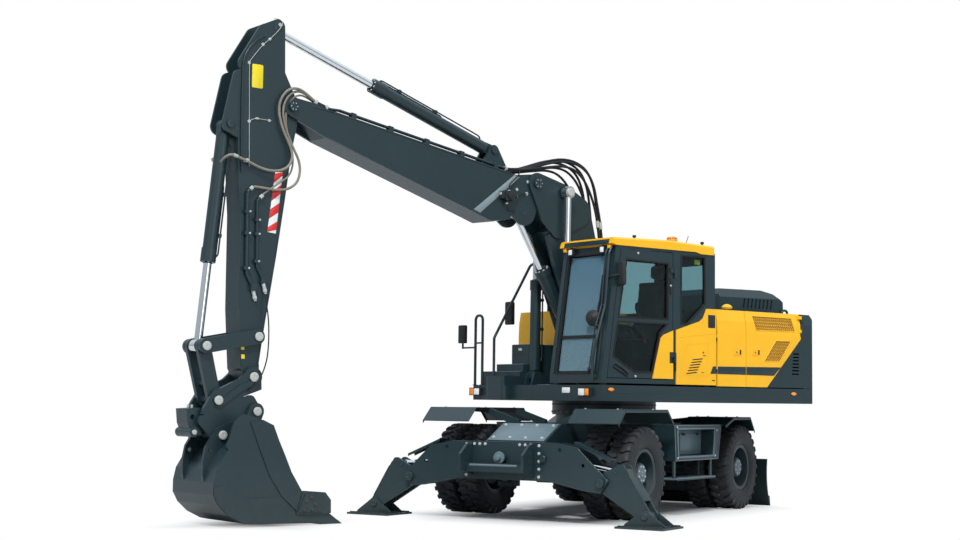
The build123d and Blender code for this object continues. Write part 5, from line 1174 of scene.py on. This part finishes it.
def seatPiece():
    # Cushion and back swell from a remeshed copy of the plain seat
    maker = link(bpy.data.objects.new("seatMaker", frame["nodes"]["seat"].data.copy()))
    coarse = maker.modifiers.new("even", "REMESH")
    coarse.mode = "VOXEL"
    coarse.voxel_size = 0.016
    maker.data = evaluatedCopy(maker)
    maker.modifiers.clear()
    before = [v.co.copy() for v in maker.data.vertices]
    held = maker.vertex_groups.new(name="held")
    lowest = [v.index for v in maker.data.vertices if v.co.z < cab["seatLow"] + 0.012 and v.normal.z < -0.5]
    held.add(lowest, 1.0, "REPLACE")
    cloth = maker.modifiers.new("swell", "CLOTH")
    cloth.settings.quality = 4
    cloth.settings.use_pressure = True
    cloth.settings.uniform_pressure_force = 4.0
    cloth.settings.effector_weights.gravity = 0.0
    cloth.settings.vertex_group_mass = "held"
    cloth.point_cache.frame_start = 1
    cloth.point_cache.frame_end = 20
    scene = bpy.context.scene
    for count in range(1, 21):
        scene.frame_set(count)
    swollen = evaluatedCopy(maker)
    for vertex, start in zip(swollen.vertices, before):
        step = vertex.co - start
        if step.length > cab["swell"]:
            vertex.co = start + step.normalized() * cab["swell"]
    scene.frame_set(1)
    maker.modifiers.clear()
    maker.data = swollen
    smooth = maker.modifiers.new("smooth", "SUBSURF")
    smooth.levels = smooth.render_levels = 1
    data = evaluated(maker)
    piece = keepMesh("seatPad", data, "upper", "seatFabric", angle=60)
    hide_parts("seat")
    head = Shape().box((-0.200, 0.685, 2.825), (-0.115, 0.895, 2.985))
    head.piece("headRest", "upper", "seatFabric", bevel=0.036, angle=60)
    posts = Shape()
    for y in (0.74, 0.84):
        posts.rod((-0.150, y, 2.76), (-0.155, y, 2.84), 0.008, 10)
    posts.piece("headRestPosts", "upper", "blackPlastic")


gasketPieces()
wiperPieces()
roofPieces()
mirrorPieces()
doorPieces()
seatPiece()
print("cab made")


# Boom group: pin caps, edge strips, bands, pipes, glands, couplings and hoses

boom = {
    "mid": -0.05, "upperHalf": 0.180, "armHalf": 0.140, "hose": 0.0155, "band": 0.0012, "capTall": 0.026,
    "capLow": 0.018, "keeperSize": 0.0065, "keepers": 6, "glandBolts": 8, "pipe": 0.0095, "sleeveAt": 9,
}
pins = {
    "foot": (0.2, 1.86), "main": (1.22, 3.93), "liftBase": (0.84, 1.62), "liftEye": (0.815, 3.85),
    "adjustBase": (0.56, 2.26), "adjustEye": (1.4, 3.578), "armPin": (4.618, 4.456), "armEye": (4.797, 5.308),
    "armBase": (1.8, 4.28), "bucketBase": (5.347, 4.193), "bucketEye": (5.591, 1.851),
    "rocker": (4.983, 1.965), "tip": (5.031, 1.54), "push": (5.447, 1.293), "hook": (5.011, 1.182),
    "ear": (5.409, 0.937),
}
# Columns: pin, body, half width, radius of the cap, finish
pinRows = [
    ("foot", "upper", 0.280, 0.060, "darkPaint"), ("main", "lower_boom", 0.228, 0.064, "darkPaint"),
    ("liftBase", "upper", 0.367, 0.046, "darkPaint"), ("liftEye", "lift_rods", 0.349, 0.050, "pinCap"),
    ("adjustEye", "upper_boom", 0.180, 0.062, "darkPaint"),
    ("armPin", "upper_boom", 0.210, 0.054, "darkPaint"),
    ("armEye", "arm", 0.140, 0.052, "darkPaint"), ("armBase", "upper_boom", 0.112, 0.042, "darkPaint"),
    ("bucketBase", "arm", 0.154, 0.046, "darkPaint"), ("bucketEye", "rockers", 0.212, 0.047, "pinCap"),
    ("rocker", "arm", 0.215, 0.047, "pinCap"), ("tip", "arm", 0.215, 0.050, "pinCap"),
    ("push", "bucket", 0.226, 0.047, "pinCap"), ("hook", "bucket", 0.264, 0.046, "pinCap"),
    ("ear", "bucket", 0.264, 0.046, "pinCap"),
]


def pinPieces():
    rows, keepers = {}, {}
    for pin, body, half, size, finish in pinRows:
        x, z = pins[pin]
        tall = boom["capLow"] if pin == "adjustEye" else boom["capTall"]
        for sign in (1, -1):
            rows.setdefault((body, finish), []).append(((x, boom["mid"] + sign * half, z), (0, sign, 0),
                                                        (size, size, tall)))
            if pin not in ("main", "armPin", "foot"):
                continue
            for k in range(boom["keepers"]):
                angle = 2 * math.pi * k / boom["keepers"]
                keepers.setdefault(body, []).append(
                    ((x + 0.7 * size * math.cos(angle), boom["mid"] + sign * (half + 0.004),
                      z + 0.7 * size * math.sin(angle)), (0, sign, 0), boom["keeperSize"]))
    for (body, finish), found in rows.items():
        name = "pinCaps" + body.title().replace("_", "") + finish[:4].title()
        scatterCopies(name, body, finish, pinEnd, found)
    for body, found in keepers.items():
        scatterCopies("keeperBolts" + body.title().replace("_", ""), body, "zincPlate", hexBolt, found)


def edgeStrips(name, body, lines, half, thick, proud):
    # Long flange edges that stand out from a box's side plates
    strips = Shape()
    for line in lines:
        for a, b in zip(line, line[1:]):
            a, b = Vector(a), Vector(b)
            run = (b - a).normalized()
            inwards = Vector((-run.y, run.x)) * thick
            for low, high in ((boom["mid"] + half, boom["mid"] + half + proud),
                              (boom["mid"] - half - proud, boom["mid"] - half)):
                strips.prism([tuple(a), tuple(b), tuple(b + inwards), tuple(a + inwards)], low, high)
    strips.piece(name, body, "darkPaint", bevel=0.0012)


def bandPieces():
    for sign, hand in ((1, "Left"), (-1, "Right")):
        face = boom["mid"] + sign * boom["upperHalf"]
        low, high = sorted((face, face + sign * 0.0015))
        Shape().prism([(1.556, 4.006), (1.478, 3.986), (2.064, 3.512), (2.159, 3.546)], low, high).piece(
            "boomStripe" + hand, "upper_boom", "greyStripe", bevel=0.0005)
        face = boom["mid"] + sign * boom["armHalf"]
        low, high = sorted((face, face + sign * boom["band"]))
        front = Vector((4.797, 3.730)), Vector((4.877, 3.083))
        rear = Vector((4.703, 3.739)), Vector((4.772, 3.072))
        outline = [tuple(p) for p in (*front, *reversed(rear))]
        Shape().prism(outline, low, high).piece("bandWhite" + hand, "arm", "blankPlate", bevel=0.0004)
        red = Shape()
        low, high = sorted((face, face + sign * boom["band"] * 1.6))
        slant = 0.12
        for v0, v1 in ((-0.10, 0.06), (0.20, 0.36), (0.50, 0.66), (0.80, 0.94)):
            ends = [front[0].lerp(front[1], max(0.0, v0 + slant)),
                    front[0].lerp(front[1], min(1.0, v1 + slant)),
                    rear[0].lerp(rear[1], min(1.0, v1)), rear[0].lerp(rear[1], max(0.0, v0))]
            red.prism([tuple(p) for p in ends], low, high)
        red.piece("bandRed" + hand, "arm", "redBand", bevel=0.0003)
        plates = Shape()
        plates.prism([(4.972, 4.622), (4.982, 4.612), (5.095, 4.612), (5.105, 4.622), (5.105, 4.856),
                      (5.095, 4.866), (4.982, 4.866), (4.972, 4.856)], low, high)
        plates.prism([(5.120, 1.825), (5.165, 1.825), (5.168, 1.870), (5.123, 1.870)], low, high)
        plates.prism([(5.112, 1.730), (5.157, 1.730), (5.160, 1.775), (5.115, 1.775)], low, high)
        plates.piece("armPlates" + hand, "arm", "safetyYellow", bevel=0.0004)


def barrelPieces():
    # Columns: name, body, base, eye, places, length, bolt circle, bolt size, pipe offset, pipe's side
    rows = [
        ("arm", "arm_barrel", "armBase", "armEye", (-0.05,), 1.790, 0.066, 0.0095, 0.094, 1),
        ("bucket", "bucket_barrel", "bucketBase", "bucketEye", (-0.05,), 1.470, 0.063, 0.009, 0.090, -1),
        ("lift", "lift_barrels", "liftBase", "liftEye", (-0.339, 0.239), 1.190, 0.058, 0.0085, 0.084, 1),
        ("adjust", "adjust_barrel", "adjustBase", "adjustEye", (-0.05,), 0.784, 0.078, 0.0105, None, 1),
    ]
    for name, body, base, eye, places, length, circle, size, offset, up in rows:
        start, end = Vector(pins[base]), Vector(pins[eye])
        run = (end - start).normalized()
        aim = Vector((run.x, 0, run.y))
        side = Vector((-run.y, 0, run.x)) * up
        bolts, routes, sleeves = [], [], []
        rings = Shape()
        for place in places:
            head = Vector((start.x, place, start.y)) + aim * length
            for k in range(boom["glandBolts"]):
                angle = 2 * math.pi * (k + 0.5) / boom["glandBolts"]
                spot = head + side * circle * math.cos(angle) + Vector((0, 1, 0)) * circle * math.sin(angle)
                bolts.append((tuple(spot), tuple(aim), size))
            rings.spun([(-0.012, circle * 0.60), (-0.012, circle * 0.86), (0.010, circle * 0.84),
                        (0.014, circle * 0.74), (0.014, circle * 0.712)], tuple(head), tuple(aim), 36)
            if offset:
                origin = Vector((start.x, place, start.y))
                for shift in (-0.026, 0.026):
                    low = 0.20 if shift > 0 else length * 0.42
                    path = ((low, 0.62), (low, 1.02), (low + 0.10, 1.05), (length - 0.16, 1.05),
                            (length - 0.07, 1.05), (length - 0.06, 0.62))
                    routes.append((boom["pipe"], [origin + aim * far + side * offset * out
                                                  + Vector((0, shift, 0)) for far, out in path]))
                for share in (0.5, 0.8):
                    spot = origin + aim * length * share + side * offset * 0.97
                    sleeves.append((tuple(spot), Euler((0, -math.atan2(run.y, run.x), 0)),
                                    (0.036, 0.082, 0.036)))
        scatterCopies(name + "GlandBolts", body, "zincPlate", hexBolt, bolts)
        rings.piece(name + "Wiper", body, "blackRubber")
        if routes:
            tubes(name + "Pipes", body, "darkPaint", routes)
            scatterCopies(name + "Clamps", body, "darkPaint", bladeBar, sleeves)


def armPieces():
    y = boom["mid"] + boom["armHalf"]
    line = onFace(y + 0.008, [(4.850, 5.392, -0.022), (4.799, 5.405, -0.014), (4.742, 5.370), (4.767, 5.301),
                              (4.909, 5.151), (4.980, 5.096), (5.140, 4.894), (5.146, 4.855),
                              (5.129, 4.243), (5.118, 3.76)])
    branch = onFace(y + 0.008, [(5.129, 4.243), (5.087, 4.278), (5.001, 4.283), (4.886, 4.278),
                                (4.86, 4.278, -0.004)])
    thick = onFace(y + 0.009, [(4.953, 5.190), (5.070, 5.140), (5.214, 4.939), (5.226, 4.734),
                               (5.218, 3.905), (5.206, 3.70)])
    tubes("greaseLines", "arm", "zincPlate", [(0.0035, line), (0.0035, branch)])
    tubes("armTubes", "arm", "darkPaint", [(0.011, thick)])
    across = (0, 1, 0)
    fittings = fittingRows(y, ((4.900, 5.160, 0.006, (-0.69, 0, 0.72), 0.014, 0.045),
                               (4.985, 5.090, 0.006, across, 0.018, 0.020),
                               (5.146, 4.870, 0.004, across, 0.018, 0.020),
                               (5.129, 4.243, 0.004, across, 0.018, 0.020),
                               (5.030, 4.283, 0.006, (-1, 0, 0), 0.012, 0.050),
                               (4.886, 4.278, 0.004, across, 0.016, 0.018),
                               (4.780, 5.335, 0.004, across, 0.020, 0.018)))
    clampBolts, couplers = [], Shape()
    for sign in (1, -1):
        for x, zs, out in ((5.142, (3.28, 3.05, 2.68), 0.189), (5.022, (3.20, 3.05, 2.76), 0.183)):
            for z in zs:
                clampBolts.append(((x - 0.03, boom["mid"] + sign * out, z), (0, sign, 0), 0.009))
        place = boom["mid"] + sign * 0.164
        for x, z in ((5.046, 2.445), (4.926, 2.525)):
            couplers.rod((x, place, z + 0.006), (x - 0.020, place, z - 0.060), 0.020, 20)
            couplers.rod((x - 0.018, place, z - 0.055), (x - 0.028, place, z - 0.085), 0.025, 6)
            couplers.rod((x - 0.026, place, z - 0.080), (x - 0.034, place, z - 0.105), 0.016, 20)
        for x, z in ((5.10, 3.52), (4.98, 3.44)):
            couplers.rod((x + 0.008, place, z - 0.006), (x - 0.024, place, z + 0.026), 0.022, 6)
    couplers.piece("serviceCouplers", "arm", "zincPlate", bevel=0.002)
    scatterCopies("clampBolts", "arm", "zincPlate", hexBolt, clampBolts)
    scatterCopies("greaseFittings", "arm", "pinCap", pinEnd, fittings)
    edgeStrips("armEdges", "arm",
               [[(5.256, 4.58), (5.256, 3.875), (5.208, 3.258), (5.203, 2.252), (5.163, 1.66)][::-1],
                [(4.951, 1.66), (4.879, 2.132), (4.765, 2.816), (4.672, 3.439), (4.6, 3.982),
                 (4.54, 4.266)][::-1]], boom["armHalf"], 0.014, 0.005)
    bucketBolts = [((x, boom["mid"] + sign * 0.482, z), (0, sign, 0), 0.016) for sign in (1, -1) for x, z in
                   ((4.470, 0.290), (4.530, 0.250), (4.420, 0.215), (4.560, 0.165), (4.460, 0.160))]
    scatterCopies("cutterBolts", "bucket", "castIron", hexBolt, bucketBolts)
    lock = Shape().rod((5.690, boom["mid"] - 0.178, 0.965), (5.690, boom["mid"] + 0.178, 0.965), 0.026, 24)
    for off in (-0.04, 0.04):
        lock.rod((5.66, boom["mid"] + off, 1.21), (5.66, boom["mid"] + off, 1.245), 0.014, 6)
    lock.piece("couplerLock", "bucket", "pinCap", bevel=0.002)


def boomPieces():
    edgeStrips("boomEdges", "upper_boom",
               [[(4.38, 4.5), (4.072, 4.463), (1.60, 4.022)], [(1.90, 3.43), (2.199, 3.528), (4.192, 4.165)]],
               boom["upperHalf"], 0.016, 0.006)
    valve = Shape()
    y = boom["mid"] + boom["upperHalf"]
    valve.rod((1.665, y + 0.06, 3.745), (1.665, y + 0.095, 3.745), 0.046, 32)
    valve.box((1.748, y + 0.010, 3.700), (1.790, y + 0.066, 3.790))
    valve.rod((1.60, y + 0.038, 3.745), (1.555, y + 0.038, 3.745), 0.024, 20)
    valve.rod((1.70, y + 0.038, 3.692), (1.70, y + 0.038, 3.655), 0.020, 6)
    valve.piece("jointValve", "upper_boom", "blackPlastic", bevel=0.003)
    across = (0, 1, 0)
    nuts = fittingRows(y, ((1.672, 3.800, 0.038, (0, 0, 1), 0.020, 0.040),
                           (1.553, 3.745, 0.038, (-1, 0, 0), 0.018, 0.020),
                           (1.790, 3.760, 0.038, (1, 0, 0), 0.018, 0.030),
                           (1.700, 3.650, 0.038, (0, 0, -1), 0.016, 0.036),
                           (1.373, 3.795, 0.005, across, 0.020, 0.012),
                           (1.358, 3.940, 0.005, across, 0.018, 0.012),
                           (1.522, 3.834, 0.005, across, 0.018, 0.012)))
    scatterCopies("valveNuts", "upper_boom", "pinCap", pinEnd, nuts)
    tubes("valveLines", "upper_boom", "blackRubber",
          [(0.008, onFace(y, [(1.672, 3.80, 0.038), (1.672, 3.87, 0.040), (1.60, 3.93, 0.030),
                              (1.50, 4.01, 0.020), (1.48, 4.06)])),
           (0.006, onFace(y, [(1.548, 3.745, 0.038), (1.48, 3.76, 0.022), (1.42, 3.79, 0.011),
                              (1.373, 3.795, 0.009)])),
           (0.005, onFace(y, [(1.700, 3.650, 0.038), (1.695, 3.60, 0.036), (1.64, 3.56, 0.024),
                              (1.55, 3.57, 0.010)]))])
    # Steel pipe ends with couplings at the boom's tip, and the clamps' bolts
    tip, bands, bolts = Shape(), [], []
    for shift in (-0.160, -0.128, 0.128, 0.160):
        place = boom["mid"] + shift
        tip.rod((4.155, place, 4.490), (4.330, place, 4.545), 0.019, 20)
        bands += [((4.185, place, 4.499), (0.95, 0, 0.3), (0.025, 0.025, 0.030)),
                  ((4.320, place, 4.542), (0.95, 0, 0.3), (0.025, 0.025, 0.030)),
                  ((1.680, place, 4.074), (-0.98, 0, -0.17), (0.022, 0.022, 0.030))]
    tip.box((4.205, boom["mid"] - 0.185, 4.470), (4.275, boom["mid"] + 0.185, 4.500))
    tip.piece("tipCouplings", "upper_boom", "blackPlastic", bevel=0.002)
    scatterCopies("tipNuts", "upper_boom", "pinCap", hexBolt, bands)
    slope = (4.490 - 4.074) / (4.010 - 1.680)
    for start in (1.8, 2.3, 2.8, 3.3, 3.8):
        for sign in (1, -1):
            height = 4.074 + (start + 0.03 - 1.680) * slope + 0.020
            bolts.append(((start + 0.03, boom["mid"] + sign * 0.144, height), (-slope, 0, 1), 0.011))
    scatterCopies("pipeClampBolts", "upper_boom", "zincPlate", hexBolt, bolts)


def hosePieces():
    # Over the boom's joint, from the pipes on top down the lower boom's back
    outer = [(1.66, 4.072), (1.42, 4.085), (1.20, 4.150), (0.96, 4.230), (0.74, 4.275), (0.52, 4.262),
             (0.34, 4.175), (0.235, 4.010), (0.185, 3.790), (0.145, 3.560), (0.118, 3.340), (0.045, 2.98),
             (-0.055, 2.62), (-0.085, 2.50)]
    inner = [(1.66, 4.072), (1.44, 4.075), (1.22, 4.115), (0.98, 4.160), (0.78, 4.190), (0.60, 4.165),
             (0.45, 4.060), (0.345, 3.900), (0.275, 3.740), (0.225, 3.560), (0.190, 3.360), (0.100, 2.98),
             (-0.010, 2.62), (-0.060, 2.50)]
    black, sleeves = [], []
    # Columns: route, place across on the lower boom's back, how far from the boom's middle at the pipes
    for k, (route, y, start) in enumerate(((outer, -0.178, -0.160), (outer, -0.112, -0.128),
                                           (inner, -0.205, -0.160), (inner, -0.050, -0.128),
                                           (outer, 0.012, 0.128), (outer, 0.078, 0.128),
                                           (inner, 0.105, 0.160))):
        start += boom["mid"]
        points = []
        for i, (x, z) in enumerate(route):
            blend = min(1.0, i / 3.0)
            lift = 0.022 * math.sin(k * 2.1) * blend * (1.0 if i < boom["sleeveAt"] else 0.3)
            points.append((x - lift, start + (y - start) * blend, z + lift))
        black.append((boom["hose"], points))
        a, b = Vector(points[boom["sleeveAt"]]), Vector(points[boom["sleeveAt"] + 1])
        sleeves.append((0.021, [a, a.lerp(b, 0.22), a.lerp(b, 0.4)]))
    piece = tubes("jointHoses", None, "blackRubber", black)
    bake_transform(piece)
    tubes("hoseSleeves", "lower_boom", "pinCap", sleeves)
    holder = Shape()
    holder.prism([(0.04, 2.60), (-0.10, 2.52), (-0.12, 2.47), (0.00, 2.47)], -0.235, 0.135)
    holder.prism([(0.16, 3.30), (0.31, 3.36), (0.31, 3.34), (0.16, 3.275)], -0.235, 0.135)
    holder.piece("hoseHolder", "lower_boom", "darkPaint", bevel=0.003)
    low = [(boom["hose"], [(-0.07, y, 2.50), (-0.115, y, 2.36), (-0.20, y, 2.10), (-0.33, y * 0.9, 1.82),
                           (-0.50, y * 0.8, 1.66), (-0.62, y * 0.8, 1.52)])
           for y in (-0.19, -0.12, -0.05, 0.02, 0.09)]
    piece = tubes("footHoses", None, "blackRubber", low)
    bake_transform(piece)
    # At the arm's joint
    longHose = [(4.320, 4.542), (4.440, 4.610), (4.560, 4.660), (4.690, 4.640), (4.785, 4.520),
                (4.800, 4.380), (4.750, 4.200), (4.655, 4.030), (4.620, 3.900), (4.680, 3.780),
                (4.830, 3.725), (5.000, 3.745), (5.170, 3.815), (5.300, 3.850)]
    midHose = [(4.320, 4.542), (4.430, 4.600), (4.560, 4.640), (4.680, 4.580), (4.745, 4.440),
               (4.720, 4.260), (4.620, 4.040), (4.510, 3.850), (4.530, 3.660), (4.640, 3.560),
               (4.800, 3.530), (4.960, 3.545), (5.070, 3.550)]
    shortHose = [(4.320, 4.542), (4.430, 4.585), (4.540, 4.600), (4.650, 4.530), (4.700, 4.390),
                 (4.680, 4.200), (4.610, 4.000), (4.590, 3.840), (4.640, 3.700), (4.760, 3.620),
                 (4.900, 3.520), (4.960, 3.470)]
    for sign, hand in ((1, "Left"), (-1, "Right")):
        routes = []
        for route, first, far, radius in ((longHose, 0.160, 0.200, 0.0150), (midHose, 0.160, 0.182, 0.0140),
                                          (shortHose, 0.128, 0.168, 0.0105)):
            points = []
            for i, (x, z) in enumerate(route):
                blend = min(1.0, i / 2.5)
                depth = first + (far + 0.012 * math.sin(i * 0.9) - first) * blend
                points.append((x, boom["mid"] + sign * depth, z))
            routes.append((radius, points))
        piece = tubes("armHoses" + hand, None, "dustyHose", routes)
        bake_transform(piece)
    ends = Shape()
    for sign in (1, -1):
        place = boom["mid"] + sign * 0.200
        ends.rod((5.285, place, 3.846), (5.335, place, 3.858), 0.019, 6)
        near, far = sorted((boom["mid"] + sign * 0.138, place + sign * 0.002))
        ends.box((5.150, near, 3.800), (5.185, far, 3.835))
    ends.piece("hoseEnds", "arm", "pinCap", bevel=0.0015)
    # From the arm to the bucket cylinder, and the thin hoses at the coupler
    routes = []
    for sign in (1, -1):
        y = boom["mid"] + sign * 0.200
        routes.append((0.0140, [(5.325, y, 3.856), (5.365, y, 3.860), (5.400, y - sign * 0.05, 3.84),
                                (5.412, y - sign * 0.12, 3.80), (5.41, y - sign * 0.155, 3.78)]))
    piece = tubes("cylinderHoses", None, "dustyHose", routes)
    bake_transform(piece)
    thin = []
    for sign in (1, -1):
        y = boom["mid"] + sign * 0.165
        thin.append((0.0075, [(4.90, y, 2.42), (4.905, y + sign * 0.05, 2.30), (4.89, y + sign * 0.075, 2.12),
                              (4.885, y + sign * 0.075, 1.90), (4.90, y + sign * 0.07, 1.70),
                              (4.98, y + sign * 0.065, 1.50), (5.10, y + sign * 0.055, 1.38)]))
    piece = tubes("couplerHoses", None, "blackRubber", thin)
    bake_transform(piece)


pinPieces()
bandPieces()
barrelPieces()
armPieces()
boomPieces()
hosePieces()
print("boom group made")


# Camera, light and floor

def addCamera():
    view = {"place": (13.550, 15.201, 1.300), "yaw": 232.67, "pitch": 4.65, "roll": 0.716, "lens": 61.24}
    yaw, pitch, roll = (math.radians(view[key]) for key in ("yaw", "pitch", "roll"))
    ahead = Vector((math.cos(yaw) * math.cos(pitch), math.sin(yaw) * math.cos(pitch), math.sin(pitch)))
    right = ahead.cross(Vector((0, 0, 1))).normalized()
    above = right.cross(ahead)
    rightTurned = right * math.cos(roll) + above * math.sin(roll)
    aboveTurned = above * math.cos(roll) - right * math.sin(roll)
    data = bpy.data.cameras.new("camera")
    data.lens = view["lens"]
    data.sensor_width = 36.0
    data.clip_end = 200.0
    camera = link(bpy.data.objects.new("camera", data))
    turn = Matrix((rightTurned, aboveTurned, -ahead)).transposed().to_4x4()
    camera.matrix_world = Matrix.Translation(view["place"]) @ turn
    bpy.context.scene.camera = camera


def addLamp(name, kind, place, aim, energy, size):
    data = bpy.data.lights.new(name, kind)
    data.energy = energy
    if kind == "AREA":
        data.shape = "RECTANGLE"
        data.size, data.size_y = size
    else:
        data.angle = size
    lamp = link(bpy.data.objects.new(name, data))
    lamp.location = place
    lamp.rotation_euler = (Vector(aim) - Vector(place)).to_track_quat("-Z", "Y").to_euler()


def addStudio():
    addLamp("sun", "SUN", (7, 7, 12), (0, 0, 1), 2.6, math.radians(9))
    addLamp("sideFill", "AREA", (3, 15, 6), (0.5, 0, 2), 330, (9, 6))
    world = bpy.data.worlds.new("studio")
    world.use_nodes = True
    tree = world.node_tree
    tree.nodes.clear()
    rays = tree.nodes.new("ShaderNodeLightPath")
    seen = tree.nodes.new("ShaderNodeMath")
    seen.operation = "MAXIMUM"
    tree.links.new(rays.outputs["Is Camera Ray"], seen.inputs[0])
    tree.links.new(rays.outputs["Is Transmission Ray"], seen.inputs[1])
    # Light that grows from the horizon to overhead
    place = tree.nodes.new("ShaderNodeTexCoord")
    parts = tree.nodes.new("ShaderNodeSeparateXYZ")
    rise = tree.nodes.new("ShaderNodeMapRange")
    for key, value in (("From Min", -0.1), ("From Max", 0.75), ("To Min", 0.22), ("To Max", 1.15)):
        rise.inputs[key].default_value = value
    light = tree.nodes.new("ShaderNodeBackground")
    light.inputs[0].default_value = (0.80, 0.91, 1.0, 1)
    tree.links.new(place.outputs["Generated"], parts.inputs[0])
    tree.links.new(parts.outputs[2], rise.inputs["Value"])
    tree.links.new(rise.outputs[0], light.inputs[1])
    white = tree.nodes.new("ShaderNodeBackground")
    white.inputs[0].default_value = (1, 1, 1, 1)
    white.inputs[1].default_value = 1.0
    mix = tree.nodes.new("ShaderNodeMixShader")
    out = tree.nodes.new("ShaderNodeOutputWorld")
    tree.links.new(seen.outputs[0], mix.inputs[0])
    tree.links.new(light.outputs[0], mix.inputs[1])
    tree.links.new(white.outputs[0], mix.inputs[2])
    tree.links.new(mix.outputs[0], out.inputs[0])
    bpy.context.scene.world = world
    bpy.context.scene.view_settings.view_transform = "Standard"


# Floor: its reach and drop, the half sizes of its lit grey zone about the undercarriage, the zone's place and
# stretch at the bucket, both fades to white, which paint a soft shade round the machine, and the zone's grey
# base
floorAndPaintedShade = {"reach": 60.0, "drop": -0.001, "along": 2.0, "across": 0.7, "shadeFade": 1.1,
          "bucket": (4.85, -0.05), "stretch": 1.2, "bucketShadeFade": 1.4, "base": 0.50}


def addFloor():
    # Plain white for the camera away from the undercarriage and the bucket, lit and shaded near them; the
    # fade between, set by place and not by light, paints a soft shade round them, and no shadow shows on the
    # white beyond
    mesh = bpy.data.meshes.new("floor")
    reach = floorAndPaintedShade["reach"]
    corners = [(x, y, floorAndPaintedShade["drop"]) for x, y in rect(-reach, -reach, reach, reach)]
    mesh.from_pydata(corners, [], [(0, 1, 2, 3)])
    floor = link(bpy.data.objects.new("floor", mesh))
    finish = Finish("floorWithPaintedShade")
    tree = finish.tree
    turned = finish.node("Mapping", {"vector_type": "POINT"}, {"Vector": finish.place,
                                                               "Rotation": (0.0, 0.0, -swing)})
    along, across = finish.part(0, turned), finish.part(1, turned)
    pastUnderShadeZone = ((along.math("ABSOLUTE") - floorAndPaintedShade["along"]).math("MAXIMUM", 0.0)
            + (across.math("ABSOLUTE") - floorAndPaintedShade["across"]).math("MAXIMUM", 0.0))
    bucketX, bucketY = floorAndPaintedShade["bucket"]
    pastBucketShadeZone = ((finish.part(0) - bucketX).math("ABSOLUTE")
                  + (finish.part(1) - bucketY).math("ABSOLUTE") * floorAndPaintedShade["stretch"])
    # Share of plain white: none near the undercarriage and the bucket, all beyond the fades; this place mask
    # paints the soft shade round them
    plain = (pastUnderShadeZone / floorAndPaintedShade["shadeFade"]).clamped().math("MINIMUM", (pastBucketShadeZone / floorAndPaintedShade["bucketShadeFade"]).clamped())
    finish.set(Base_Color=(floorAndPaintedShade["base"],) * 3, Roughness=0.9)
    glow = tree.nodes.new("ShaderNodeEmission")
    glow.inputs[0].default_value = (1, 1, 1, 1)
    rays = tree.nodes.new("ShaderNodeLightPath")
    share = finish.node("Math", {"operation": "MULTIPLY"}, {0: plain})
    tree.links.new(rays.outputs["Is Camera Ray"], share.socket.node.inputs[1])
    mix = tree.nodes.new("ShaderNodeMixShader")
    tree.links.new(share.socket, mix.inputs[0])
    tree.links.new(finish.shader.outputs[0], mix.inputs[1])
    tree.links.new(glow.outputs[0], mix.inputs[2])
    tree.links.new(mix.outputs[0], tree.nodes["Material Output"].inputs[0])
    mesh.materials.append(finish.material)


addCamera()
addStudio()
addFloor()
print("stage set")
